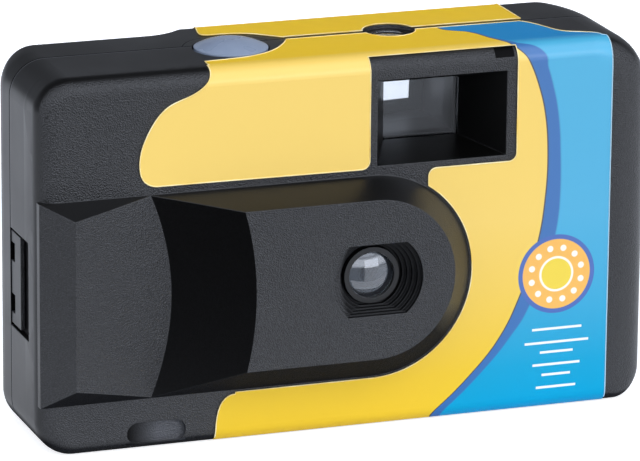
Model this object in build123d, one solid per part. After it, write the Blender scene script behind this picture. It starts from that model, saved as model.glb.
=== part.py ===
from build123d import *
import math
import os

os.makedirs("parts", exist_ok=True)

# Whole body, in millimetres: X runs along the camera, the front looks along -Y, Z is up
body_depth = 29.55
front_cover_depth = 16.2
housing_rise = 5.3
label_thickness = 0.15
cover_wall = 1.5
frame_wall = 1.2
deck_thickness = 1.2

# Clearances
parting_gap = 0.15
piece_gap = 0.3
running_gap = 0.06
overrun = 2.0

# Roundings of the body, seen from the front
corner_top_left = 6.0
corner_top_right = 10.0
corner_bottom_right = 5.0
corner_bottom_left = 6.0
least_corner = 1.5

# Roundings of the front and rear edges
front_left_radius = 3.5
front_right_radius = 8.0
front_top_radius = 2.8
front_bottom_radius = 2.5
rear_side_radius = 9.5
rear_top_radius = 2.0
rear_bottom_radius = 2.0
dome_steps = 12

# Film and its gate
gate_width = 36.0
gate_height = 24.0
film_width = 35.0
film_thickness = 0.15
film_back_gap = 1.9
film_rail_gap = 0.2

# Film cartridge, and the roll of film that it draws from
cartridge_radius = 12.2
cartridge_cap_radius = 12.45
cartridge_film_margin = 5.8
cartridge_sheet = 0.4
hub_radius = 5.6
roll_radius = 10.0
roll_film_gap = 0.8
spool_core_radius = 3.6

# Room left inside the covers, along X from the cartridge to the roll
cartridge_side_gap = 1.95
cartridge_gate_space = 10.55
gate_roll_space = 8.1
roll_side_space = 4.5

# Room left inside the covers, from the ground up
cartridge_floor_space = 4.0
cartridge_top_space = 1.9
works_height = 10.15

# Lens housing and grip band on the front, reaches from the lens axis
band_base_above = 16.5
band_base_below = 18.3
band_base_reach = 18.3
band_face_above = 13.7
band_face_below = 13.8
band_face_reach = 13.7
valley_axis_below = 0.8

# Grip, reaches from the body's left side
valley_axis_outside = 17.5
valley_base_radius = 40.0
valley_face_radius = 53.2
grip_peak_inside = 5.0
grip_rise = 4.3
grip_valley_middle_inside = 22.8
grip_valley_end_inside = 19.7

# Lens recess
recess_radius = 8.0
recess_flat = 6.15
recess_depth = 4.0
recess_steps = 5
lens_ring_radius = 4.85
lens_glass_radius = 4.0

# Finder, reaches from the lens axis and heights from the film's upper edge
finder_reach = 6.35
finder_width = 13.35
finder_above_film = 2.0
finder_height = 10.05
pocket_reach = 1.1
pocket_width = 23.9
pocket_above_film = 0.4
pocket_height = 15.0
pocket_depth = 10.2

# Button, counter and wheels, reaches from the lens axis
button_reach = 19.55
button_before_parting = 2.9
button_radius = 6.2
button_flange_radius = 7.2
button_travel = 1.2
collar_radius = 8.0
counter_window_reach = 9.4
counter_window_radius = 3.0
counter_disc_reach = 2.4
counter_disc_radius = 9.2
thumbwheel_radius = 11.9
thumbwheel_height = 5.0
sprocket_reach = 17.9
sprocket_tip_radius = 6.6
sprocket_shaft_radius = 1.5
thumb_recess_depth = 4.55

# Places along X, worked out from the sizes above
body_width = (
    2 * cover_wall + cartridge_side_gap + 2 * cartridge_cap_radius + cartridge_gate_space + gate_width
    + gate_roll_space + 2 * roll_radius + roll_side_space)
left_x = -body_width / 2
right_x = body_width / 2
cartridge_x = left_x + cover_wall + cartridge_side_gap + cartridge_cap_radius
lens_x = cartridge_x + cartridge_cap_radius + cartridge_gate_space + gate_width / 2
spool_x = lens_x + gate_width / 2 + gate_roll_space + roll_radius
sprocket_x = lens_x - sprocket_reach
button_x = lens_x - button_reach
counter_window_x = lens_x + counter_window_reach
counter_disc_x = lens_x + counter_disc_reach
band_base_right = lens_x + band_base_reach
band_face_right = lens_x + band_face_reach
valley_axis_x = left_x - valley_axis_outside
grip_peak_x = left_x + grip_peak_inside
grip_valley_middle_x = left_x + grip_valley_middle_inside
grip_valley_end_x = left_x + grip_valley_end_inside
finder_left = lens_x + finder_reach
finder_right = finder_left + finder_width
pocket_left = lens_x + pocket_reach
pocket_right = pocket_left + pocket_width

# Levels, from the ground up
cartridge_length = film_width + 2 * cartridge_film_margin
cartridge_bottom = cartridge_floor_space
cartridge_top = cartridge_bottom + cartridge_length
lens_z = cartridge_bottom + cartridge_length / 2
film_bottom = lens_z - film_width / 2
film_top = lens_z + film_width / 2
thumb_recess_bottom = cartridge_top + cartridge_top_space
deck_bottom = thumb_recess_bottom - cover_wall + piece_gap / 2
deck_top = deck_bottom + deck_thickness
ceiling_z = deck_top + works_height
body_height = ceiling_z + cover_wall
frame_floor = cover_wall + piece_gap
band_base_top = lens_z + band_base_above
band_base_bottom = lens_z - band_base_below
band_face_top = lens_z + band_face_above
band_face_bottom = lens_z - band_face_below
valley_axis_z = lens_z - valley_axis_below
finder_bottom = film_top + finder_above_film
finder_top = finder_bottom + finder_height
pocket_bottom = film_top + pocket_above_film
pocket_top = pocket_bottom + pocket_height

# Depths, from the front back
overall_depth = housing_rise + body_depth + label_thickness
housing_face_y = -overall_depth / 2
front_y = housing_face_y + housing_rise
rear_y = front_y + body_depth
parting_y = front_y + front_cover_depth
inner_front_y = front_y + cover_wall
inner_rear_y = rear_y - cover_wall
film_y = inner_rear_y - film_back_gap - film_thickness
gate_rear_y = film_y - film_rail_gap
gate_front_y = gate_rear_y - frame_wall
spool_y = film_y - roll_film_gap - roll_radius
cartridge_y = inner_rear_y - piece_gap - cartridge_cap_radius
sprocket_y = film_y - film_rail_gap / 2 - sprocket_tip_radius - running_gap
button_y = parting_y - button_before_parting
thumb_recess_y = rear_y - thumb_recess_depth


# Small builders used by every piece

def box_between(x0, x1, y0, y1, z0, z1):
    return Pos((x0 + x1) / 2, (y0 + y1) / 2, (z0 + z1) / 2) * Box(x1 - x0, y1 - y0, z1 - z0)


def facing_front(y, x=0, z=0):
    return Plane(origin=(x, y, z), x_dir=(1, 0, 0), z_dir=(0, -1, 0))


def disc_z(x, y, radius, z0, z1):
    return extrude(Pos(x, y, z0) * Circle(radius), z1 - z0)


def disc_y(x, z, radius, y0, y1):
    return extrude(facing_front(y1, x, z) * Circle(radius), y1 - y0)


def disc_x(y, z, radius, x0, x1):
    plane = Plane(origin=(x0, y, z), x_dir=(0, 1, 0), z_dir=(1, 0, 0))
    return extrude(plane * Circle(radius), x1 - x0)


def ring_z(x, y, outer, inner, z0, z1):
    return extrude(Pos(x, y, z0) * (Circle(outer) - Circle(inner)), z1 - z0)


def panel_xz(sketch, y0, y1):
    return extrude(facing_front(y1) * sketch, y1 - y0)


def polygon(points):
    return make_face(Polyline(*points, close=True))


def arm_z(start, end, start_radius, end_radius, z0, z1):
    # tapered lever arm between two round ends, seen from above
    hull = make_hull((Pos(*start) * Circle(start_radius)).edges() + (Pos(*end) * Circle(end_radius)).edges())
    return extrude(Pos(0, 0, z0) * hull, z1 - z0)


def coil_z(x, y, radius, wire_radius, z0, z1, turns):
    # round wire wound about a vertical axis
    height = z1 - z0 - 2 * wire_radius
    path = Pos(x, y, z0 + wire_radius) * Helix(height / turns, height, radius)
    start = path @ 0
    section = Plane(origin=start, z_dir=path % 0) * Circle(wire_radius)
    return sweep(section, path=path, is_frenet=True)


# Rounded body form, as lofted end domes and a straight middle

def edge_inset(radius, depth):
    if depth >= radius:
        return 0
    return radius - math.sqrt(radius ** 2 - (radius - depth) ** 2)


def body_section(y, insets, grow):
    left, right, top, bottom = insets
    x0 = left_x - grow + left
    x1 = right_x + grow - right
    z0 = bottom - grow
    z1 = body_height + grow - top
    top_left = max(corner_top_left + grow - (left + top) / 2, least_corner)
    top_right = max(corner_top_right + grow - (right + top) / 2, least_corner)
    bottom_right = max(corner_bottom_right + grow - (right + bottom) / 2, least_corner)
    bottom_left = max(corner_bottom_left + grow - (left + bottom) / 2, least_corner)
    outline = [
        Line((x0 + top_left, z1), (x1 - top_right, z1)),
        RadiusArc((x1 - top_right, z1), (x1, z1 - top_right), top_right),
        Line((x1, z1 - top_right), (x1, z0 + bottom_right)),
        RadiusArc((x1, z0 + bottom_right), (x1 - bottom_right, z0), bottom_right),
        Line((x1 - bottom_right, z0), (x0 + bottom_left, z0)),
        RadiusArc((x0 + bottom_left, z0), (x0, z0 + bottom_left), bottom_left),
        Line((x0, z0 + bottom_left), (x0, z1 - top_left)),
        RadiusArc((x0, z1 - top_left), (x0 + top_left, z1), top_left),
    ]
    return facing_front(y) * make_face(Curve() + outline)


def half_form(end_y, stop_y, radii, grow):
    # one half of the body, from its rounded end face to a flat cut at stop_y
    inward = 1 if stop_y > end_y else -1
    radii = [radius + grow for radius in radii]
    reach = max(radii)
    sections = []
    for step in range(dome_steps + 1):
        depth = reach * (1 - math.cos(math.radians(90 * step / dome_steps)))
        insets = [edge_inset(radius, depth) for radius in radii]
        sections.append(body_section(end_y + inward * depth, insets, grow))
    dome = loft([section.face() for section in sections])
    last_y = end_y + inward * reach
    middle = extrude(sections[-1], abs(stop_y - last_y), dir=(0, inward, 0))
    return dome + middle


def front_form(grow, stop_y):
    radii = (front_left_radius, front_right_radius, front_top_radius, front_bottom_radius)
    return half_form(front_y - grow, stop_y, radii, grow)


def rear_form(grow, stop_y):
    radii = (rear_side_radius, rear_side_radius, rear_top_radius, rear_bottom_radius)
    return half_form(rear_y + grow, stop_y, radii, grow)


# Raised band on the front: lens housing, valley and grip

def band_outline(top, bottom, right, y):
    radius = (top - bottom) / 2
    far_left = left_x - overrun
    outline = [
        Line((far_left, top), (right - radius, top)),
        RadiusArc((right - radius, top), (right - radius, bottom), radius),
        Line((right - radius, bottom), (far_left, bottom)),
        Line((far_left, bottom), (far_left, top)),
    ]
    return facing_front(y) * make_face(Curve() + outline)


def band_form(inset):
    base = band_outline(band_base_top - inset, band_base_bottom + inset, band_base_right - inset, front_y)
    face = band_outline(
        band_face_top - inset, band_face_bottom + inset, band_face_right - inset, housing_face_y + inset)
    root = extrude(base, cover_wall + inset, dir=(0, 1, 0))
    return loft([base.face(), face.face()]) + root


def valley_cone(inset):
    # everything left of the lens housing's slanted left side
    slope = (valley_face_radius - valley_base_radius) / housing_rise
    base_radius = valley_base_radius + inset
    deep = cover_wall + inset
    points = [
        (valley_axis_x, front_y + deep),
        (valley_axis_x + base_radius - slope * deep, front_y + deep),
        (valley_axis_x + base_radius + slope * (housing_rise + overrun), housing_face_y - overrun),
        (valley_axis_x, housing_face_y - overrun),
    ]
    half = Pos(0, 0, valley_axis_z) * polygon(points)
    return revolve(half, Axis((valley_axis_x, 0, valley_axis_z), (0, 1, 0)), 360)


def lens_housing(inset):
    return band_form(inset) - valley_cone(inset)


def grip(inset):
    # wedge that the fingers hold, with a straight peak and a bowed valley
    peak_y = front_y - grip_rise + inset
    outer_x = left_x + piece_gap / 2 + inset
    root_y = inner_front_y if inset == 0 else inner_front_y + overrun / 2
    sections = []
    for z, valley_x in (
            (band_base_top, grip_valley_end_x),
            (valley_axis_z, grip_valley_middle_x),
            (band_base_bottom, grip_valley_end_x)):
        end_x = valley_x - inset * 2
        points = [(outer_x, root_y), (outer_x, front_y), (grip_peak_x, peak_y), (end_x, front_y), (end_x, root_y)]
        sections.append(Pos(0, 0, z) * polygon(points))
    return loft([section.face() for section in sections]) & band_form(inset)


def recess_step(index):
    # one ring of the stepped well round the lens
    radius_step = (recess_radius - lens_ring_radius) / recess_steps
    flat_step = (recess_flat - lens_ring_radius) / recess_steps
    radius = recess_radius - index * radius_step
    flat = recess_flat - index * flat_step
    deep_y = housing_face_y + recess_depth * (index + 1) / recess_steps
    well = disc_y(lens_x, lens_z, radius, housing_face_y - overrun, deep_y)
    slab = box_between(
        lens_x - radius, lens_x + radius, housing_face_y - overrun, deep_y, lens_z - flat, lens_z + flat)
    return well & slab


recess_floor_y = housing_face_y + recess_depth
cup_back_y = recess_floor_y + frame_wall


# Finder pocket

def finder_taper(inset):
    # tapered space from the front opening to the finder window, grown by -inset
    mouth = facing_front(front_y - overrun / 2) * Pos(
        (pocket_left + pocket_right) / 2, (pocket_bottom + pocket_top) / 2) * Rectangle(
        pocket_right - pocket_left - 2 * inset, pocket_top - pocket_bottom - 2 * inset)
    window = facing_front(front_y + pocket_depth) * Pos(
        (finder_left + finder_right) / 2, (finder_bottom + finder_top) / 2) * Rectangle(
        finder_right - finder_left - 2 * inset, finder_top - finder_bottom - 2 * inset)
    return loft([mouth.face(), window.face()])


# Latch on the side of the body

latch_below_lens = 8.5
latch_height = 16.9
latch_length = 10.3
latch_depth = 1.0
tongue_length = 5.3
tongue_side_gap = 0.5
latch_hole_width = 2.0
latch_hole_height = 3.2
latch_hole_inset = 2.4
latch_bottom = lens_z - latch_below_lens
latch_top = latch_bottom + latch_height
latch_front_y = parting_y - latch_length
tongue_front_y = parting_y - tongue_length


def latch_recess(side):
    face = side * body_width / 2
    x0, x1 = sorted((face + side * overrun, face - side * latch_depth))
    return box_between(x0, x1, latch_front_y, parting_y + overrun, latch_bottom, latch_top)


def latch_pad(side):
    # thickens the wall behind the latch recess
    face = side * body_width / 2
    x0, x1 = sorted((face - side * latch_depth, face - side * (cover_wall + latch_depth)))
    return box_between(
        x0, x1, latch_front_y - cover_wall, parting_y - parting_gap / 2, latch_bottom - cover_wall,
        latch_top + cover_wall)


def latch_tongue(side):
    # flat tongue of the rear cover that snaps into the front cover's side
    face = side * body_width / 2
    x0, x1 = sorted((face - side * parting_gap, face - side * (latch_depth - parting_gap)))
    tongue = box_between(
        x0, x1, tongue_front_y, parting_y + overrun, latch_bottom + tongue_side_gap, latch_top - tongue_side_gap)
    for z in (latch_bottom + latch_hole_inset, latch_top - latch_hole_inset - latch_hole_height):
        tongue -= box_between(
            x0 - overrun, x1 + overrun, parting_y - latch_hole_width, parting_y, z, z + latch_hole_height)
    return tongue


# Cartridge door in the bottom

door_left = cartridge_x - cartridge_radius - piece_gap
door_right = cartridge_x + cartridge_radius + piece_gap
door_front_y = cartridge_y - cartridge_radius + piece_gap
door_pin_reach = 9.4
door_pin_y = cartridge_y + door_pin_reach
door_pin_z = 1.6
door_barrel_radius = 1.1
door_thickness = 1.3
door_lift = 0.3
door_corner = 2.0
door_boss_radius = 9.0
door_boss_wall = 1.5
door_ear_width = 2.5
door_pin_radius = 0.5


def door_opening():
    y0 = door_front_y - piece_gap
    y1 = door_pin_y + door_pin_z - door_lift + piece_gap
    return box_between(
        door_left - piece_gap, door_right + piece_gap, y0, y1, -overrun, cover_wall + door_barrel_radius)


def cartridge_door():
    centre_x = (door_left + door_right) / 2
    length_y = door_pin_y - door_front_y
    sketch = Pos(centre_x, (door_front_y + door_pin_y) / 2) * RectangleRounded(
        door_right - door_left, length_y, door_corner)
    plate = extrude(Pos(0, 0, door_lift) * sketch, door_thickness)
    plate += ring_z(
        cartridge_x, cartridge_y, door_boss_radius, door_boss_radius - door_boss_wall, door_lift + door_thickness,
        cartridge_bottom - piece_gap)
    barrel_left = door_left + door_ear_width + piece_gap
    barrel_right = door_right - door_ear_width - piece_gap
    barrel = disc_x(door_pin_y, door_pin_z, door_barrel_radius, barrel_left, barrel_right)
    web = box_between(
        barrel_left, barrel_right, door_pin_y - door_barrel_radius, door_pin_y, door_lift, door_pin_z)
    for end in (-1, 1):
        x0, x1 = sorted((centre_x + end * (door_right - door_left) / 2, centre_x + end * (barrel_right - centre_x)))
        plate -= box_between(
            x0 - overrun, x1 + overrun if end > 0 else x1, door_pin_y - door_barrel_radius - piece_gap,
            door_pin_y + overrun, -overrun, door_lift + door_thickness + overrun)
    door = plate + barrel + web
    door -= disc_x(door_pin_y, door_pin_z, door_pin_radius + running_gap, door_left, door_right)
    return door


def door_ears():
    # two ears with stub pins that carry the door
    ears = []
    for x0, x1, pin_x in (
            (door_left, door_left + door_ear_width, door_left + door_ear_width),
            (door_right - door_ear_width, door_right, door_right - door_ear_width)):
        inward = 1 if pin_x == x1 else -1
        ear = disc_x(door_pin_y, door_pin_z, door_barrel_radius, x0, x1)
        ear += box_between(
            x0, x1, door_pin_y, inner_rear_y + cover_wall / 2, door_pin_z - door_barrel_radius,
            door_pin_z + door_barrel_radius)
        stub = sorted((pin_x, pin_x + inward * (door_ear_width + piece_gap)))
        ears.append(ear + disc_x(door_pin_y, door_pin_z, door_pin_radius, *stub))
    return ears


# Nail notch in the bottom strip of the front
nail_notch_inside = 15.0
nail_notch_width = 10.2
nail_notch_left = left_x + nail_notch_inside
nail_notch_right = nail_notch_left + nail_notch_width
nail_notch_bottom = 1.1
nail_notch_top = 4.9
nail_notch_depth = 1.0

# Counter window and its recess in the top
counter_recess_radius = 4.2
counter_recess_depth = 0.6
eye_circle_radius = 6.6
eye_circle_offset = 3.3


def counter_recess():
    y = parting_y
    z0 = body_height - counter_recess_depth
    z1 = body_height + overrun
    upper = disc_z(counter_window_x, y + eye_circle_offset, eye_circle_radius, z0, z1)
    lower = disc_z(counter_window_x, y - eye_circle_offset, eye_circle_radius, z0, z1)
    eye = upper & lower
    eye += disc_z(counter_window_x, y, counter_recess_radius, z0, z1)
    hole = disc_z(counter_window_x, y, counter_window_radius + parting_gap, ceiling_z - overrun, z1)
    return eye + hole


# Covers

def front_cover():
    shell = front_form(0, parting_y - parting_gap / 2)
    shell += lens_housing(0) + grip(0)
    cavity = front_form(-cover_wall, parting_y + overrun)
    shell -= cavity + lens_housing(cover_wall) + grip(cover_wall)
    shell += disc_y(lens_x, lens_z, recess_radius + cover_wall, housing_face_y + cover_wall / 2, cup_back_y)
    for index in range(recess_steps):
        shell -= recess_step(index)
    shell -= disc_y(lens_x, lens_z, lens_ring_radius + parting_gap, housing_face_y, front_y + overrun)
    walls = finder_taper(-frame_wall) & box_between(
        left_x, right_x, front_y + cover_wall / 2, front_y + pocket_depth, 0, body_height - cover_wall / 2)
    shell += walls
    shell -= finder_taper(0)
    for side in (-1, 1):
        shell += latch_pad(side)
        shell -= latch_recess(side)
    collar = disc_z(button_x, button_y, collar_radius, ceiling_z, body_height)
    shell += collar
    shell -= disc_z(button_x, button_y, button_radius + piece_gap, ceiling_z - overrun, body_height + overrun)
    shell -= counter_recess()
    shell -= door_opening()
    notch_height = nail_notch_top - nail_notch_bottom
    notch = Pos((nail_notch_left + nail_notch_right) / 2, (nail_notch_top + nail_notch_bottom) / 2) * SlotOverall(
        nail_notch_right - nail_notch_left, notch_height)
    shell -= panel_xz(notch, front_y - overrun, front_y + nail_notch_depth)
    return shell


def thumb_recess(inset):
    # space cut from the rear cover's upper left, with an S shaped right side
    y = thumb_recess_y - inset
    near_x = recess_curve_start_x + inset
    far_x = recess_curve_end_x + inset
    far_y = rear_y + overrun
    outline = [
        Line((left_x - overrun, y), (near_x, y)),
        Spline((near_x, y), (far_x, far_y), tangents=((1, 0), (1, 1))),
        Line((far_x, far_y), (left_x - overrun, far_y)),
        Line((left_x - overrun, far_y), (left_x - overrun, y)),
    ]
    sketch = make_face(Curve() + outline)
    z0 = thumb_recess_bottom - inset
    return extrude(Pos(0, 0, z0) * sketch, body_height - z0 + overrun)


recess_curve_start_reach = 10.1
recess_curve_end_reach = 20.6
recess_curve_start_x = cartridge_x + recess_curve_start_reach
recess_curve_end_x = cartridge_x + recess_curve_end_reach
wheel_slot_gap = 0.5
eyepiece_width = 8.0
eyepiece_height = 5.2
eyepiece_depth = 1.2
pressure_rib_height = 1.6
eyepiece_x = (finder_left + finder_right) / 2
eyepiece_z = (finder_bottom + finder_top) / 2
thumbwheel_bottom = deck_top + piece_gap
thumbwheel_top = thumbwheel_bottom + thumbwheel_height


def rear_cover():
    shell = rear_form(0, parting_y + parting_gap / 2) - thumb_recess(0)
    cavity = rear_form(-cover_wall, parting_y - overrun) - thumb_recess(cover_wall)
    shell -= cavity
    for side in (-1, 1):
        shell += latch_tongue(side)
    shell -= disc_z(button_x, button_y, collar_radius + parting_gap, ceiling_z - overrun, body_height + overrun)
    shell -= counter_recess()
    shell -= door_opening()
    rounding = rear_form(-cover_wall / 2, parting_y)
    for ear in door_ears():
        shell += ear & rounding
    slot_radius = thumbwheel_radius + wheel_slot_gap
    shell -= disc_z(
        cartridge_x, cartridge_y, slot_radius, thumbwheel_bottom - wheel_slot_gap, thumbwheel_top + wheel_slot_gap)
    shell -= box_between(
        eyepiece_x - eyepiece_width / 2, eyepiece_x + eyepiece_width / 2, inner_rear_y - overrun,
        rear_y + overrun, eyepiece_z - eyepiece_height / 2, eyepiece_z + eyepiece_height / 2)
    rib_y = film_y + film_thickness + film_rail_gap
    for z in (film_bottom, film_top - pressure_rib_height):
        shell += box_between(
            lens_x - gate_width / 2, lens_x + gate_width / 2, rib_y, inner_rear_y + cover_wall / 2, z,
            z + pressure_rib_height)
    return shell


# Labels: thin skins on the covers, inside printed outlines

front_label_left_shares = [(-0.457, 1.016), (-0.462, 0.978), (-0.517, 0.939), (-0.589, 0.915), (-0.657, 0.847),
                           (-0.684, 0.758), (-0.677, 0.731), (-0.633, 0.706)]
front_label_base_share = 0.703
front_label_finder_left_share = 0.048
front_label_finder_right_share = 0.528
front_label_finder_bottom_share = 0.691
front_label_tip_share = 0.240
front_label_foot_shares = [(-0.380, 0.129), (-0.415, 0.117), (-0.431, 0.095), (-0.444, 0.0)]
front_label_right_share = 0.840
label_corner = 1.4
label_housing_gap = 0.4
label_foot_z = 0.3
hood_top_gap = 0.2

top_label_left_shares = [(-0.448, -0.400), (-0.382, -0.383), (-0.281, -0.326), (-0.211, -0.194),
                         (-0.158, -0.006), (-0.125, 0.166)]
top_label_right_shares = [(0.644, 0.171), (0.692, -0.109), (0.728, -0.331), (0.798, -0.446), (0.826, -0.720)]
label_parting_gap = 0.9
rear_top_left_shares = [(-0.345, 0.990), (-0.352, 0.726), (-0.349, 0.577), (-0.312, 0.560), (-0.206, 0.491),
                        (-0.156, 0.360), (-0.121, 0.263)]
rear_top_right_share = 0.659
rear_label_side_share = 0.80
rear_label_bottom = 3.0
rear_label_corner = 4.0


def share_points(shares, width, height):
    return [(x * width, y * height) for x, y in shares]


def front_label():
    skin = front_form(label_thickness, parting_y - parting_gap) - front_form(0, parting_y + overrun)
    half_width = body_width / 2
    half_depth = overall_depth / 2
    high = body_height + overrun
    base_z = front_label_base_share * body_height
    finder_x0 = front_label_finder_left_share * half_width
    finder_x1 = front_label_finder_right_share * half_width
    left_edge = share_points(front_label_left_shares, half_width, body_height)
    left_face = make_face(Curve() + [
        Spline(*left_edge),
        Line(left_edge[-1], (finder_x0 - label_corner, base_z)),
        RadiusArc((finder_x0 - label_corner, base_z), (finder_x0, base_z + label_corner), -label_corner),
        Line((finder_x0, base_z + label_corner), (finder_x0, high)),
        Line((finder_x0, high), (left_edge[0][0], high)),
        Line((left_edge[0][0], high), left_edge[0]),
    ])
    foot = share_points(front_label_foot_shares, half_width, body_height)
    right_edge_x = front_label_right_share * half_width
    finder_z = front_label_finder_bottom_share * body_height
    tip_x = front_label_tip_share * half_width
    right_face = make_face(Curve() + [
        Spline(*foot),
        Line(foot[-1], (right_edge_x, 0)),
        Line((right_edge_x, 0), (right_edge_x, high)),
        Line((right_edge_x, high), (finder_x1, high)),
        Line((finder_x1, high), (finder_x1, finder_z + label_corner)),
        RadiusArc((finder_x1, finder_z + label_corner), (finder_x1 - label_corner, finder_z), label_corner),
        Line((finder_x1 - label_corner, finder_z), (tip_x + label_corner, finder_z)),
        RadiusArc((tip_x + label_corner, finder_z), (tip_x, finder_z - label_corner), -label_corner),
        Line((tip_x, finder_z - label_corner), (tip_x, valley_axis_z)),
        Line((tip_x, valley_axis_z), (foot[0][0], valley_axis_z)),
        Line((foot[0][0], valley_axis_z), foot[0]),
    ])
    around = label_housing_gap
    housing = band_outline(
        band_base_top + around, band_base_bottom - around, band_base_right + around, front_y + overrun)
    front_zone = panel_xz(left_face + right_face, front_y - overrun, front_y + front_top_radius)
    front_zone -= extrude(housing, overrun * 2)
    front_zone &= box_between(left_x, right_x, front_y - overrun, parting_y, label_foot_z, high)
    top_left = share_points(top_label_left_shares, half_width, half_depth)
    top_right = share_points(top_label_right_shares, half_width, half_depth)
    edge_y = parting_y - label_parting_gap
    top_face = make_face(Curve() + [
        Spline(*top_left),
        Line(top_left[-1], (top_left[-1][0], edge_y)),
        Line((top_left[-1][0], edge_y), (top_right[0][0], edge_y)),
        Line((top_right[0][0], edge_y), top_right[0]),
        Spline(*top_right),
        Line(top_right[-1], (top_right[-1][0], front_y - overrun)),
        Line((top_right[-1][0], front_y - overrun), (top_left[0][0], front_y - overrun)),
        Line((top_left[0][0], front_y - overrun), top_left[0]),
    ])
    top_zone = extrude(Pos(0, 0, body_height - front_top_radius) * top_face, front_top_radius + overrun)
    top_zone -= disc_z(
        counter_window_x, parting_y, counter_recess_radius + piece_gap, ceiling_z, body_height + overrun)
    top_zone -= box_between(
        finder_x0, finder_x1, front_y - overrun, front_y + front_top_radius, 0, body_height - hood_top_gap)
    return skin & (front_zone + top_zone)


def rear_label():
    skin = rear_form(label_thickness, parting_y + parting_gap) - rear_form(0, parting_y - overrun)
    half_width = body_width / 2
    half_depth = overall_depth / 2
    side_x = rear_label_side_share * half_width
    sketch = Pos(0, (rear_label_bottom + body_height + rear_label_corner) / 2) * RectangleRounded(
        2 * side_x, body_height + rear_label_corner - rear_label_bottom, rear_label_corner)
    rear_zone = panel_xz(sketch, rear_y - rear_top_radius, rear_y + overrun)
    rear_zone -= box_between(
        eyepiece_x - eyepiece_width / 2 - piece_gap, eyepiece_x + eyepiece_width / 2 + piece_gap,
        rear_y - overrun, rear_y + overrun, eyepiece_z - eyepiece_height / 2 - piece_gap,
        eyepiece_z + eyepiece_height / 2 + piece_gap)
    top_left = share_points(rear_top_left_shares, half_width, half_depth)
    right_edge = rear_top_right_share * half_width
    edge_y = parting_y + label_parting_gap
    top_face = make_face(Curve() + [
        Spline(*top_left),
        Line(top_left[-1], (top_left[-1][0], edge_y)),
        Line((top_left[-1][0], edge_y), (right_edge, edge_y)),
        Line((right_edge, edge_y), (right_edge, rear_y + overrun)),
        Line((right_edge, rear_y + overrun), (top_left[0][0], rear_y + overrun)),
        Line((top_left[0][0], rear_y + overrun), top_left[0]),
    ])
    top_zone = extrude(Pos(0, 0, body_height - rear_top_radius) * top_face, rear_top_radius + overrun)
    top_zone -= disc_z(
        counter_window_x, parting_y, counter_recess_radius + piece_gap, ceiling_z, body_height + overrun)
    below_top = box_between(
        left_x, right_x, rear_y - rear_top_radius, rear_y + overrun, 0, body_height - rear_top_radius)
    return (skin & ((rear_zone & below_top) + top_zone)) - thumb_recess(parting_gap)


# Optics

lens_ring_proud = 1.0
ring_lip = 0.6
ring_flange_radius = 6.2
ring_flange_thickness = 1.0
lens_edge_radius = 4.4
lens_bore_gap = 0.1
lens_edge_thickness = 1.0
lens_dome_radius = 8.0
lens_back_radius = 12.0
aperture_radius = 1.5
aperture_thickness = 0.4

ring_tip_y = recess_floor_y - lens_ring_proud
ring_flange_y = cup_back_y + piece_gap
ring_back_y = ring_flange_y + ring_flange_thickness
lens_edge_y = ring_tip_y + ring_lip + running_gap
lens_back_y = lens_edge_y + lens_edge_thickness


def lens_ring():
    ring = disc_y(lens_x, lens_z, lens_ring_radius, ring_tip_y, ring_back_y)
    ring += disc_y(lens_x, lens_z, ring_flange_radius, ring_flange_y, ring_back_y)
    ring -= disc_y(lens_x, lens_z, lens_glass_radius, ring_tip_y - overrun, ring_back_y + overrun)
    ring -= disc_y(lens_x, lens_z, lens_edge_radius + running_gap, ring_tip_y + ring_lip, ring_back_y + overrun)
    return ring


def taking_lens():
    edge = disc_y(lens_x, lens_z, lens_edge_radius, lens_edge_y, lens_back_y)
    dome_base_radius = lens_glass_radius - lens_bore_gap
    sink = math.sqrt(lens_dome_radius ** 2 - dome_base_radius ** 2)
    dome = Pos(lens_x, lens_edge_y + sink, lens_z) * Sphere(lens_dome_radius)
    dome &= disc_y(lens_x, lens_z, dome_base_radius, lens_edge_y - overrun, lens_edge_y + overrun / 2)
    back_sink = math.sqrt(lens_back_radius ** 2 - lens_glass_radius ** 2)
    hollow = Pos(lens_x, lens_back_y + back_sink, lens_z) * Sphere(lens_back_radius)
    return edge + dome - hollow


def aperture_disc():
    y0 = lens_back_y + running_gap
    disc = disc_y(lens_x, lens_z, lens_edge_radius, y0, y0 + aperture_thickness)
    return disc - disc_y(lens_x, lens_z, aperture_radius, y0 - overrun, y0 + overrun)


finder_lens_margin = 0.6
finder_lens_thickness = 1.8
finder_lens_hollow_radius = 40.0
finder_lens_hollow_depth = 1.2
finder_lens_y = front_y + pocket_depth + piece_gap


def finder_front_lens():
    y1 = finder_lens_y + finder_lens_thickness
    block = box_between(
        finder_left - finder_lens_margin, finder_right + finder_lens_margin, finder_lens_y, y1,
        finder_bottom - finder_lens_margin, finder_top + finder_lens_margin)
    hollow_y = finder_lens_y + finder_lens_hollow_depth - finder_lens_hollow_radius
    return block - Pos(eyepiece_x, hollow_y, eyepiece_z) * Sphere(finder_lens_hollow_radius)


eyepiece_flange = 0.8
eyepiece_bulge_radius = 18.0
eyepiece_bulge = 0.5


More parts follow.
